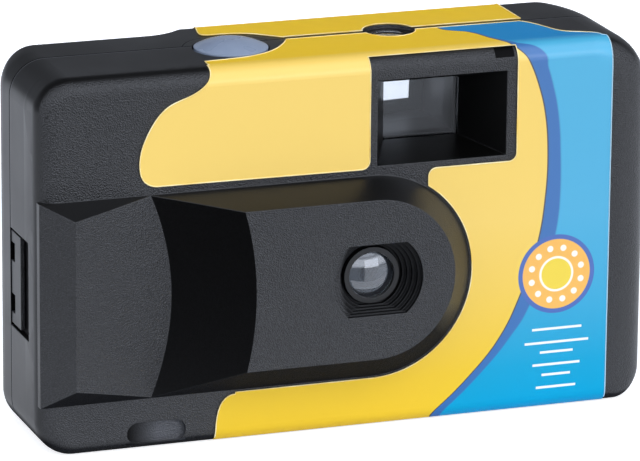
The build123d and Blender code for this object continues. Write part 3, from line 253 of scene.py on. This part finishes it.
def makeCoverPlastic(name, values, hollows):
    material, tree, shader = startMaterial(name)
    y = objectPlace(tree)[1]
    normal = addNode(tree, "ShaderNodeNewGeometry").outputs["Normal"]
    facing = addNode(tree, "ShaderNodeSeparateXYZ", {0: normal}).outputs
    front = ramp(tree, facing[1], *values["frontFacing"])
    under = ramp(tree, facing[2], *values["underFacing"])
    grain = useGroup(tree, grainGroup, Scale=values["grainScale"])
    edge = useGroup(tree, edgeGroup, Radius=values["edgeRadius"])
    grained = blendColour(tree, grain["Tone"], values["grained"], values["speck"])
    colour = blendColour(tree, calc(tree, "MULTIPLY", front, values["grainAmount"]), values["smooth"], grained)
    rough = ramp(tree, grain["Patch"], 0, 1, *values["roughness"])
    rough = blendValue(tree, front, rough, values["grainRoughness"])
    dull = under
    if hollows:
        colour, dull, front = shadeHollows(tree, colour, dull, front, facing, {**values, **hollows})
    # painted highlight along the covers' convex edges
    lighterEdge = calc(tree, "MULTIPLY", edge["Edge"], values["edgeHighlightAmount"])
    colour = blendColour(tree, lighterEdge, colour, values["edgeHighlightColour"])
    # painted highlight on a thin lip just in front of the seam, then the dark seam itself
    past = calc(tree, "SUBTRACT", y, values["seamY"])
    lipShine = insideSpan(tree, past, (-values["seamLip"], -values["seamHalf"]))
    colour = blendColour(tree, lipShine, colour, values["lipHighlight"])
    seam = insideSpan(tree, past, (-values["seamHalf"], values["seamHalf"]))
    colour = blendColour(tree, seam, colour, values["seamColour"])
    rough = blendValue(tree, under, rough, values["underRoughness"])
    rough = blendValue(tree, seam, rough, values["seamRoughness"])
    dull = calc(tree, "MAXIMUM", seam, dull)
    specular = ramp(tree, dull, 0, 1, values["specular"], values["specular"] * values["dull"])
    bump = addNode(tree, "ShaderNodeBump", {
        "Height": calc(tree, "MULTIPLY", grain["Height"], front), "Normal": edge["Normal"],
        "Strength": values["bump"], "Distance": values["grainHeight"]})
    tree.links.new(colour, shader.inputs["Base Color"])
    tree.links.new(rough, shader.inputs["Roughness"])
    tree.links.new(specular, shader.inputs["Specular IOR Level"])
    tree.links.new(bump.outputs[0], shader.inputs["Normal"])
    return material


frontPlastic = makeCoverPlastic("frontPlastic", coverPlastic, coverHollows)
rearPlastic = makeCoverPlastic("rearPlastic", coverPlastic, None)
dress(frontPlastic, "front_cover")
dress(rearPlastic, "rear_cover", "cartridge_door")
print("covers dressed")


# printed labels

# the paler upper colours are painted sheen and the top colours are painted shade, all copies of one yellow and
# one blue ink
labelPrint = {
    "yellowLow": srgb(238, 200, 52), "yellowSheen": srgb(243, 210, 108), "yellowTopShaded": srgb(236, 197, 30),
    "blueLow": srgb(0, 161, 209), "blueSheen": srgb(73, 174, 219), "blueTopShaded": srgb(0, 132, 200),
    "band": srgb(58, 113, 180), "line": srgb(74, 70, 78), "sheenRise": (0.008, 0.034), "fold": (0.0655, 0.068),
    "shineFrom": (0.002, 0.022), "cut": srgb(255, 246, 205), "cutBlue": srgb(176, 214, 236),
    "cutBlueX": (0.043, 0.045), "cutBlueY": (0.0036, 0.0034), "cutRadius": 0.0001, "roughness": (0.33, 0.43),
    "specular": (0.12, 0.5), "coat": (0.0, 0.22), "coatRoughness": 0.18, "grain": (1800.0, 90.0),
    "relief": (0.12, 0.00001), "topShine": 0.15, "soft": 0.00006, "outline": 0.00012, "run": 0.080,
    "frontY": -0.0122, "frontFacing": (-0.0090, -0.0095),
    "border": [(0, 0.0126), (0.0073, 0.0211), (0.0137, 0.0265), (0.0198, 0.0296), (0.029, 0.0328),
               (0.037, 0.0341), (0.0456, 0.0344), (0.052, 0.0338), (0.0561, 0.0328), (0.061, 0.0309),
               (0.065, 0.0285), (0.070, 0.0261), (0.0746, 0.0243), (0.0784, 0.0203)],
    "bandWidth": [(0, 0.0018), (0.012, 0.0019), (0.017, 0.0025), (0.0306, 0.0029), (0.047, 0.0023),
                  (0.0594, 0.0027), (0.0633, 0.0036), (0.066, 0.0012), (0.070, 0.0006), (0.0784, 0.0004)],
    "halfWidth": 0.0545, "bandReach": 0.005}

roundel = {
    "x": 0.0364, "z": 0.0238, "outer": 0.0069, "disc": 0.0061, "centre": 0.0027, "rim": 0.0031, "dots": 12,
    "dotRing": 0.0046, "dotRadius": 0.00055, "soft": 0.00006, "ringColour": srgb(72, 108, 184),
    "discColour": srgb(246, 188, 92), "centreColour": srgb(240, 214, 70), "dotColour": srgb(255, 250, 238)}

stripes = {
    "x": 0.0367, "thickness": 0.00042, "colour": srgb(240, 248, 252),
    "rows": [(0.0142, 0.0045), (0.0118, 0.0058), (0.0101, 0.0030), (0.0079, 0.0043), (0.0061, 0.0026),
             (0.0039, 0.0036)]}


# smooth curve through given points
def curveValue(tree, value, points, reach, scale):
    node = addNode(tree, "ShaderNodeFloatCurve", {"Value": calc(tree, "DIVIDE", value, reach)})
    curve = node.mapping.curves[0]
    placed = [(at / reach, to / scale) for at, to in points]
    placed.append((1.0, placed[-1][1]))
    curve.points[0].location = placed[0]
    curve.points[1].location = placed[-1]
    for at in placed[1:-1]:
        curve.points.new(*at)
    node.mapping.update()
    return calc(tree, "MULTIPLY", node.outputs[0], scale)


def addRoundel(tree, colour, x, z, facing, values):
    acrossX, acrossZ = calc(tree, "SUBTRACT", x, values["x"]), calc(tree, "SUBTRACT", z, values["z"])
    reach = distanceTo(tree, x, z, (values["x"], values["z"]))
    turn = calc(tree, "DIVIDE", calc(tree, "ARCTAN2", acrossZ, acrossX), 2 * math.pi / values["dots"])
    swing = calc(tree, "MULTIPLY", calc(
        tree, "SUBTRACT", calc(tree, "FRACT", calc(tree, "ADD", turn, values["dots"])), 0.5),
        2 * math.pi / values["dots"])
    side = calc(tree, "MULTIPLY", reach, calc(tree, "SINE", swing))
    out = calc(tree, "SUBTRACT", calc(tree, "MULTIPLY", reach, calc(tree, "COSINE", swing)), values["dotRing"])
    dot = calc(tree, "SQRT", calc(
        tree, "ADD", calc(tree, "MULTIPLY", side, side), calc(tree, "MULTIPLY", out, out)))
    soft = values["soft"]
    for distance, radius, key in (
            (reach, "outer", "ringColour"), (reach, "disc", "discColour"), (dot, "dotRadius", "dotColour"),
            (reach, "rim", "dotColour"), (reach, "centre", "centreColour")):
        inside = ramp(tree, distance, values[radius] + soft, values[radius] - soft)
        colour = blendColour(tree, calc(tree, "MULTIPLY", inside, facing), colour, values[key])
    return colour


def addStripes(tree, colour, x, z, facing, values):
    half = values["thickness"] / 2
    marks = 0.0
    for at, length in values["rows"]:
        row = calc(tree, "MULTIPLY", insideSpan(tree, z, (at - half, at + half)), insideSpan(
            tree, x, (values["x"] - length, values["x"] + length)))
        marks = calc(tree, "MAXIMUM", marks, row)
    return blendColour(tree, calc(tree, "MULTIPLY", marks, facing), colour, values["colour"])


def finishLabel(tree, shader, colour, values, height, fold):
    grain = useGroup(tree, grainGroup, Scale=values["grain"][0], Mottle=values["grain"][1])
    edge = useGroup(tree, edgeGroup, Radius=values["cutRadius"])
    rough = ramp(tree, grain["Patch"], 0, 1, *values["roughness"])
    strength, distance = values["relief"]
    bump = addNode(tree, "ShaderNodeBump", {
        "Height": grain["Tone"], "Normal": edge["Normal"], "Strength": strength, "Distance": distance})
    tree.links.new(colour, shader.inputs["Base Color"])
    tree.links.new(rough, shader.inputs["Roughness"])
    tree.links.new(bump.outputs[0], shader.inputs["Normal"])
    shine = ramp(tree, fold, 0, 1, 1.0, values["topShine"])
    plain, coat = (ramp(tree, height, *values["shineFrom"], *values[key]) for key in ("specular", "coat"))
    tree.links.new(calc(tree, "MULTIPLY", plain, shine), shader.inputs["Specular IOR Level"])
    tree.links.new(calc(tree, "MULTIPLY", coat, shine), shader.inputs["Coat Weight"])
    shader.inputs["Coat Roughness"].default_value = values["coatRoughness"]


def makeFrontLabel(values):
    material, tree, shader = startMaterial("frontLabel")
    x, y, z = objectPlace(tree)
    run = calc(tree, "ADD", z, calc(tree, "SUBTRACT", y, values["frontY"]))  # unrolled height over the top edge
    border = curveValue(tree, run, values["border"], values["run"], values["halfWidth"])
    width = curveValue(tree, run, values["bandWidth"], values["run"], values["bandReach"])
    past = calc(tree, "SUBTRACT", x, border)
    soft = values["soft"]
    rise, fold = ramp(tree, run, *values["sheenRise"]), ramp(tree, run, *values["fold"])
    # painted sheen paling the inks up the front, and painted shade on the top face
    yellow = blendColour(tree, rise, values["yellowLow"], values["yellowSheen"])
    yellow = blendColour(tree, fold, yellow, values["yellowTopShaded"])
    blue = blendColour(tree, rise, values["blueLow"], values["blueSheen"])
    blue = blendColour(tree, fold, blue, values["blueTopShaded"])
    inner = ramp(tree, calc(tree, "SUBTRACT", past, width), -soft * 3, soft * 3)
    blue = blendColour(tree, inner, values["band"], blue)
    colour = blendColour(tree, ramp(tree, past, -soft, soft), yellow, blue)
    facing = ramp(tree, y, *values["frontFacing"])
    colour = addRoundel(tree, colour, x, z, facing, roundel)
    outline = insideSpan(tree, past, (-values["outline"], values["outline"]))
    clear = calc(tree, "GREATER_THAN", distanceTo(tree, x, z, (roundel["x"], roundel["z"])), roundel["outer"])
    colour = blendColour(tree, calc(tree, "MULTIPLY", outline, clear), colour, values["line"])
    colour = addStripes(tree, colour, x, z, facing, stripes)
    finishLabel(tree, shader, colour, values, z, fold)
    return material


rearPrint = {
    "border": [(0, 0.0300), (0.020, 0.0335), (0.036, 0.0345), (0.050, 0.0380), (0.060, 0.0500),
               (0.078, 0.0540)],
    "panelX": (-0.0300, 0.0240), "panelZ": (0.0120, 0.0400), "panel": srgb(250, 236, 180),
    "rule": srgb(120, 116, 104), "rules": 7, "ruleStep": 0.0034, "ruleTop": 0.0368, "ruleHeight": 0.00035,
    "ruleX": (-0.0270, 0.0210), "fold": (0.0620, 0.0636), "bandEnd": (0.0022, 0.0024),
    "backFacing": (0.0150, 0.0152)}


def makeRearLabel(values, rear):
    material, tree, shader = startMaterial("rearLabel")
    x, y, z = objectPlace(tree)
    border = curveValue(tree, z, rear["border"], values["run"], values["halfWidth"])
    past = calc(tree, "SUBTRACT", x, border)
    soft = values["soft"]
    rise, fold = ramp(tree, z, *values["sheenRise"]), ramp(tree, z, *rear["fold"])
    # painted sheen paling the inks up the back, and painted shade on the top face
    yellow = blendColour(tree, rise, values["yellowLow"], values["yellowSheen"])
    yellow = blendColour(tree, fold, yellow, values["yellowTopShaded"])
    blue = blendColour(tree, rise, values["blueLow"], values["blueSheen"])
    blue = blendColour(tree, ramp(tree, past, *rear["bandEnd"]), values["band"], blue)
    behind = ramp(tree, y, *rear["backFacing"])
    mask = calc(tree, "MULTIPLY", ramp(tree, past, -soft, soft), behind)
    colour = blendColour(tree, mask, yellow, blue)
    panel = calc(tree, "MULTIPLY", insideSpan(tree, x, rear["panelX"]), insideSpan(tree, z, rear["panelZ"]))
    colour = blendColour(tree, calc(tree, "MULTIPLY", panel, behind), colour, rear["panel"])
    for index in range(rear["rules"]):
        top = rear["ruleTop"] - index * rear["ruleStep"]
        rule = calc(tree, "MULTIPLY", insideSpan(tree, x, rear["ruleX"]), insideSpan(
            tree, z, (top - rear["ruleHeight"], top)))
        colour = blendColour(tree, calc(tree, "MULTIPLY", rule, behind), colour, rear["rule"])
    finishLabel(tree, shader, colour, values, z, fold)
    return material


dress(makeFrontLabel(labelPrint), "front_label")
dress(makeRearLabel(labelPrint, rearPrint), "rear_label")

# pale paper that shows where the labels are cut
cutEdge = {"radius": 0.00011, "sharp": math.radians(50), "outward": 0.3, "weld": 0.000001, "grain": 3000.0,
           "mottle": 200.0, "roughness": (0.6, 0.7)}
frontFold, rearFold = (0.0094, 0.0028), (0.01535, 0.0020)  # where each label bends to the top, and how far


# sharp edges of a label's outer face, as lists of points
def outerCutEdges(mesh, facing, fold, values):
    solid = bmesh.new()
    solid.from_mesh(mesh)
    bmesh.ops.remove_doubles(solid, verts=solid.verts, dist=values["weld"])
    solid.normal_update()
    cuts = []  # in the mesh's own order, so that each line starts at the same edge every time
    for edge in solid.edges:
        if len(edge.link_faces) != 2 or edge.calc_face_angle(0) < values["sharp"]:
            continue
        out = (edge.link_faces[0].normal + edge.link_faces[1].normal).normalized()
        middle = (edge.verts[0].co + edge.verts[1].co) / 2
        lean = min(max((middle.y * facing - fold[0]) / fold[1], 0), 1)
        if out.y * facing * lean + out.z * math.sqrt(1 - lean ** 2) > values["outward"]:
            cuts.append(edge)
    lines = []
    while cuts:
        edge = cuts.pop(0)
        line = list(edge.verts)
        for end in (0, -1):
            while True:
                step = next((other for other in line[end].link_edges if other in cuts), None)
                if step is None:
                    break
                cuts.remove(step)
                vert = step.other_vert(line[end])
                line.insert(0 if end == 0 else len(line), vert)
        lines.append([vert.co.copy() for vert in line])
    solid.free()
    return lines


def makeCutEdges(name, label, facing, fold, values):
    curve = bpy.data.curves.new(name, "CURVE")
    curve.dimensions = "3D"
    curve.bevel_depth = values["radius"]
    curve.bevel_resolution = 1
    deepest = cadBounds[1][1] - values["radius"]  # keeps the strip inside the camera's own depth
    for line in outerCutEdges(nodes[label].data, facing, fold, values):
        spline = curve.splines.new("POLY")
        spline.points.add(len(line) - 1)
        for point, place in zip(spline.points, line):
            point.co = (place.x, min(place.y, deepest), place.z, 1)
    item = bpy.data.objects.new(name, curve)
    bpy.context.scene.collection.objects.link(item)
    bpy.context.view_layer.update()
    mesh = bpy.data.meshes.new_from_object(item.evaluated_get(bpy.context.evaluated_depsgraph_get()))
    bpy.data.objects.remove(item)
    strip = bpy.data.objects.new(name, mesh)
    bpy.context.scene.collection.objects.link(strip)
    strip.matrix_world = nodes[label].matrix_world.copy()
    mesh.materials.clear()
    mesh.materials.append(cutPaper)
    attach(strip, "body")
    print(name, len(mesh.polygons), "faces")


def makeCutPaper(values):
    material, tree, shader = startMaterial("cutPaper")
    grain = useGroup(tree, grainGroup, Scale=cutEdge["grain"], Mottle=cutEdge["mottle"])
    x, y, z = objectPlace(tree)
    blue = product(tree, ramp(tree, x, *values["cutBlueX"]), ramp(tree, y, *values["cutBlueY"]))
    colour = blendColour(tree, grain["Patch"], values["cut"], values["yellowSheen"])
    tree.links.new(blendColour(tree, blue, colour, values["cutBlue"]), shader.inputs["Base Color"])
    tree.links.new(ramp(tree, grain["Patch"], 0, 1, *cutEdge["roughness"]), shader.inputs["Roughness"])
    return material


cutPaper = makeCutPaper(labelPrint)
makeCutEdges("frontLabelEdge", "front_label", -1, frontFold, cutEdge)
makeCutEdges("rearLabelEdge", "rear_label", 1, rearFold, cutEdge)
print("labels printed")


# plain moulded, metal and clear pieces

moulding = {"scale": 3000.0, "mottle": 120.0, "lighterEdge": 0.35, "roughness": (-0.04, 0.05), "depth": 0.00002}
brushing = {"stretch": (1.0, 1.0, 14.0), "scale": 300.0, "detail": 3.0, "span": (0.3, 0.7), "edge": 0.0001,
            "roughness": (-0.06, 0.08), "relief": 0.15, "depth": 0.00002}
clearing = {"scale": 140.0, "detail": 2.0, "span": (0.3, 0.7), "light": srgb(250, 252, 255), "ior": 1.49,
            "coatIor": 1.8}


def makePlastic(name, dark, light, roughness, edgeRadius=0.00015, coat=0.0, relief=0.1):
    material, tree, shader = startMaterial(name)
    grain = useGroup(tree, grainGroup, Scale=moulding["scale"], Mottle=moulding["mottle"])
    edge = useGroup(tree, edgeGroup, Radius=edgeRadius)
    colour = blendColour(tree, grain["Patch"], dark, light)
    # edges blended towards the lighter tone
    colour = blendColour(tree, calc(tree, "MULTIPLY", edge["Edge"], moulding["lighterEdge"]), colour, light)
    rough = ramp(tree, grain["Patch"], 0, 1, *(roughness + more for more in moulding["roughness"]))
    bump = addNode(tree, "ShaderNodeBump", {
        "Height": grain["Height"], "Normal": edge["Normal"], "Strength": relief, "Distance": moulding["depth"]})
    tree.links.new(colour, shader.inputs["Base Color"])
    tree.links.new(rough, shader.inputs["Roughness"])
    tree.links.new(bump.outputs[0], shader.inputs["Normal"])
    shader.inputs["Coat Weight"].default_value = coat
    return material


def makeMetal(name, dark, light, roughness):
    material, tree, shader = startMaterial(name)
    place = addNode(tree, "ShaderNodeTexCoord").outputs["Object"]
    stretched = addNode(tree, "ShaderNodeMapping", {"Vector": place, "Scale": brushing["stretch"]}).outputs[0]
    brushed = addNode(tree, "ShaderNodeTexNoise", {
        "Vector": stretched, "Scale": brushing["scale"], "Detail": brushing["detail"]}).outputs[0]
    edge = useGroup(tree, edgeGroup, Radius=brushing["edge"])
    colour = blendColour(tree, ramp(tree, brushed, *brushing["span"]), dark, light)
    rough = ramp(tree, brushed, *brushing["span"], *(roughness + more for more in brushing["roughness"]))
    bump = addNode(tree, "ShaderNodeBump", {
        "Height": brushed, "Normal": edge["Normal"], "Strength": brushing["relief"],
        "Distance": brushing["depth"]})
    tree.links.new(colour, shader.inputs["Base Color"])
    tree.links.new(rough, shader.inputs["Roughness"])
    tree.links.new(bump.outputs[0], shader.inputs["Normal"])
    shader.inputs["Metallic"].default_value = 1.0
    return material


def makeClear(name, tint, roughness, coat=0.0):
    material, tree, shader = startMaterial(name)
    place = addNode(tree, "ShaderNodeTexCoord").outputs["Object"]
    swirl = addNode(tree, "ShaderNodeTexNoise", {
        "Vector": place, "Scale": clearing["scale"], "Detail": clearing["detail"]}).outputs[0]
    rough = ramp(tree, swirl, *clearing["span"], roughness, roughness * 2)
    tree.links.new(blendColour(tree, swirl, tint, clearing["light"]), shader.inputs["Base Color"])
    tree.links.new(rough, shader.inputs["Roughness"])
    shader.inputs["Transmission Weight"].default_value = 1.0
    shader.inputs["IOR"].default_value = clearing["ior"]
    shader.inputs["Coat Weight"].default_value = coat
    shader.inputs["Coat IOR"].default_value = clearing["coatIor"]
    return material


# dark and light tone and roughness, then edge radius, coat and relief where a finish has its own
finishes = {
    "button": (srgb(132, 148, 178), srgb(146, 162, 190), 0.28, 0.0002, 0.3),
    "inner": (srgb(12, 12, 13), srgb(20, 20, 21), 0.42),
    "wheel": (srgb(14, 14, 15), srgb(24, 24, 26), 0.38),
    "acetal": (srgb(222, 221, 214), srgb(238, 237, 231), 0.45),
    "dial": (srgb(30, 30, 33), srgb(44, 44, 48), 0.5),
    "film": (srgb(52, 38, 34), srgb(70, 52, 44), 0.25, 0.0001, 0.4),
    "felt": (srgb(12, 12, 13), srgb(24, 24, 26), 0.85, 0.0001),
    "paint": (srgb(30, 31, 34), srgb(40, 41, 45), 0.5, 0.00015, 0.0, 0.01)}
metals = {
    "spring": (srgb(170, 170, 172), srgb(206, 206, 208), 0.28),
    "tin": (srgb(176, 176, 170), srgb(204, 204, 198), 0.32),
    "black": (srgb(26, 26, 28), srgb(44, 44, 46), 0.4)}
clears = {"finder": (srgb(248, 251, 253), 0.012), "lens": (srgb(206, 218, 232), 0.01, 1.0)}

dress(makePlastic("buttonPlastic", *finishes["button"]), "shutter_button")
dress(makePlastic("innerPlastic", *finishes["inner"]), "main_frame", "keeper_plate", "light_baffle",
      "shutter_cover", "cartridge_spool", "supply_spool", "lens_ring")
dress(makePlastic("wheelPlastic", *finishes["wheel"]), "thumbwheel")
dress(makePlastic("acetal", *finishes["acetal"]), "sprocket_shaft", "high_energy_lever", "metering_lever",
      "anti_backup_pawl")
dress(makePlastic("dialPlastic", *finishes["dial"]), "counter_disc")
dress(makePlastic("filmBase", *finishes["film"]), "film_strip", "film_roll")
dress(makePlastic("feltPile", *finishes["felt"]), "light_trap_felt")
dress(makeMetal("springSteel", *metals["spring"]), "blade_spring", "lever_spring", "metering_spring",
      "button_spring")
dress(makeMetal("tinplate", *metals["tin"]), "cartridge_shell")
dress(makeMetal("blackSteel", *metals["black"]), "shutter_blade", "cartridge_caps")
dress(makePlastic("blackPaint", *finishes["paint"]), "aperture_disc")
dress(makeClear("clearLens", *clears["finder"]), "finder_front_lens", "finder_rear_lens", "counter_window")
dress(makeClear("takingGlass", *clears["lens"]), "taking_lens")
print("inner pieces dressed")


# numerals on the counter dial

dialNumbers = {"count": 14, "step": 2, "radius": 0.0070, "height": 0.0017, "depth": 0.00008,
               "colour": (srgb(232, 232, 228), srgb(246, 246, 244), 0.5)}


def makeDialNumbers(values):
    centre, top = centreOf("counter_disc"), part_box("counter_disc")[1][2]
    paint = makePlastic("dialPaint", *values["colour"])
    meshes = []
    for index in range(values["count"]):
        turn = 2 * math.pi * index / values["count"]
        text = bpy.data.curves.new("dialText", "FONT")
        text.body = str(index * values["step"])
        text.size = values["height"]
        text.extrude = values["depth"] / 2
        text.align_x = "CENTER"
        text.align_y = "CENTER"
        item = bpy.data.objects.new("dialText", text)
        bpy.context.scene.collection.objects.link(item)
        bpy.context.view_layer.update()
        mesh = bpy.data.meshes.new_from_object(item.evaluated_get(bpy.context.evaluated_depsgraph_get()))
        spot = Matrix.Translation((centre.x, centre.y, top + values["depth"] / 2))
        mesh.transform(spot @ Matrix.Rotation(turn, 4, "Z") @ Matrix.Translation((0, values["radius"], 0)))
        meshes.append(mesh)
        bpy.data.objects.remove(item)
    objects = [bpy.data.objects.new("dialPart", mesh) for mesh in meshes]
    for item in objects:
        bpy.context.scene.collection.objects.link(item)
    bpy.ops.object.select_all(action="DESELECT")
    for item in objects:
        item.select_set(True)
    bpy.context.view_layer.objects.active = objects[0]
    bpy.ops.object.join()
    dial = bpy.context.view_layer.objects.active
    dial.name = "dialNumbers"
    dial.data.materials.clear()
    dial.data.materials.append(paint)
    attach(dial, "counter")


makeDialNumbers(dialNumbers)
print("dial numbered")


# floor, light and camera

studio = {
    "floorX": (-0.9, 0.9), "floorY": (-0.06, 1.4), "floorColour": srgb(218, 226, 242), "floorRoughness": 0.9,
    "floorLift": 0.78, "floorShine": 0.3, "aheadFrom": (0.15, -0.15), "overhead": 2.05,
    "overheadZ": (0.45, 0.94), "overheadSoft": 0.06, "front": 0.98, "frontHigh": 0.15, "frontRise": (0.0, 0.12),
    "strip": 2.8, "stripZ": (0.1, 0.42), "stripSoft": 0.05, "darkMiddle": -0.385, "darkHalf": (0.36, 0.44),
    "window": 4.8, "windowX": (0.0, 0.6), "windowZ": (0.05, 0.38), "windowSoft": 0.03, "shade": 0.09,
    "fill": 1.5, "behind": 0.3, "fillZ": (0.02, 0.38), "fillSoft": 0.08, "fillFrom": (0.1, 0.4),
    "mirrored": srgb(234, 241, 255), "lampPower": 0.12, "lampSize": 0.5,
    "lampPlace": (0.25, -0.75, 0.65), "lampTarget": (0.0, 0.0, 0.03)}

photoView = {
    "place": (-0.285094, -0.787392, 0.274093), "right": (0.94166, -0.33647, 0.0084),
    "up": (0.08612, 0.26502, 0.96039), "lens": 291.69, "sensor": 36.0, "near": 0.01}


def makeFloor(values):
    (x0, x1), (y0, y1) = values["floorX"], values["floorY"]
    mesh = bpy.data.meshes.new("floor")
    mesh.from_pydata([(x0, y0, 0), (x1, y0, 0), (x1, y1, 0), (x0, y1, 0)], [], [(0, 1, 2, 3)])
    floor = bpy.data.objects.new("floor", mesh)
    bpy.context.scene.collection.objects.link(floor)
    material, tree, shader = startMaterial("floorPaper")
    shader.inputs["Base Color"].default_value = values["floorColour"]
    shader.inputs["Roughness"].default_value = values["floorRoughness"]
    rays = addNode(tree, "ShaderNodeLightPath").outputs
    lift = calc(tree, "MAXIMUM", calc(tree, "MULTIPLY", rays["Is Camera Ray"], values["floorLift"]), calc(
        tree, "MULTIPLY", rays["Is Glossy Ray"], values["floorShine"]))
    tree.links.new(lift, shader.inputs["Emission Strength"])
    shader.inputs["Emission Color"].default_value = (1, 1, 1, 1)
    mesh.materials.append(material)


def makeWorld(values):
    world = bpy.data.worlds.new("studio")
    bpy.context.scene.world = world
    world.use_nodes = True
    tree = world.node_tree
    back = tree.nodes["Background"]
    way = addNode(tree, "ShaderNodeTexCoord").outputs["Generated"]
    x, y, z = addNode(tree, "ShaderNodeSeparateXYZ", {0: way}).outputs
    rays = addNode(tree, "ShaderNodeLightPath").outputs
    ahead = ramp(tree, y, *values["aheadFrom"])
    overhead = product(
        tree, insideSpan(tree, z, values["overheadZ"], values["overheadSoft"]), ahead, values["overhead"])
    strip = product(
        tree, insideSpan(tree, z, values["stripZ"], values["stripSoft"]), ahead, rays["Is Glossy Ray"],
        values["strip"])
    across = calc(tree, "ABSOLUTE", calc(tree, "SUBTRACT", x, values["darkMiddle"]))
    aside = ramp(tree, across, *values["darkHalf"])
    front = product(
        tree, ahead, aside, ramp(tree, z, *values["frontRise"], values["front"], values["frontHigh"]))
    window = product(
        tree, insideSpan(tree, x, values["windowX"], values["windowSoft"]),
        insideSpan(tree, z, values["windowZ"], values["windowSoft"]), ahead, values["window"])
    rear = product(
        tree, insideSpan(tree, z, values["fillZ"], values["fillSoft"]), ramp(tree, y, *values["fillFrom"]),
        blendValue(tree, rays["Is Glossy Ray"], values["fill"], values["behind"]))
    level = values["shade"]
    for light in (overhead, strip, front, window, rear):
        level = calc(tree, "MAXIMUM", level, light)
    seen = calc(tree, "MAXIMUM", rays["Is Camera Ray"], rays["Is Transmission Ray"])
    tree.links.new(blendValue(tree, seen, level, 1.0), back.inputs["Strength"])
    tree.links.new(blendColour(
        tree, rays["Is Glossy Ray"], (1, 1, 1, 1), values["mirrored"]), back.inputs["Color"])


def makeLamp(values):
    light = bpy.data.lights.new("softbox", "AREA")
    light.energy = values["lampPower"]
    light.size = values["lampSize"]
    lamp = bpy.data.objects.new("softbox", light)
    bpy.context.scene.collection.objects.link(lamp)
    lamp.location = values["lampPlace"]
    aim = Vector(values["lampTarget"]) - Vector(values["lampPlace"])
    lamp.rotation_euler = aim.to_track_quat("-Z", "Y").to_euler()
    lamp.visible_glossy = False


def makeCamera(values):
    data = bpy.data.cameras.new("photoCamera")
    data.lens = values["lens"]
    data.sensor_width = values["sensor"]
    data.clip_start = values["near"]
    camera = bpy.data.objects.new("photoCamera", data)
    bpy.context.scene.collection.objects.link(camera)
    right, up = Vector(values["right"]), Vector(values["up"])
    back = right.cross(up)
    rows = Matrix((right, up, back)).transposed().to_4x4()
    camera.matrix_world = Matrix.Translation(values["place"]) @ rows
    bpy.context.scene.camera = camera


makeFloor(studio)
makeWorld(studio)
makeLamp(studio)
makeCamera(photoView)
bpy.context.scene.view_settings.view_transform = "Standard"
print("studio ready")
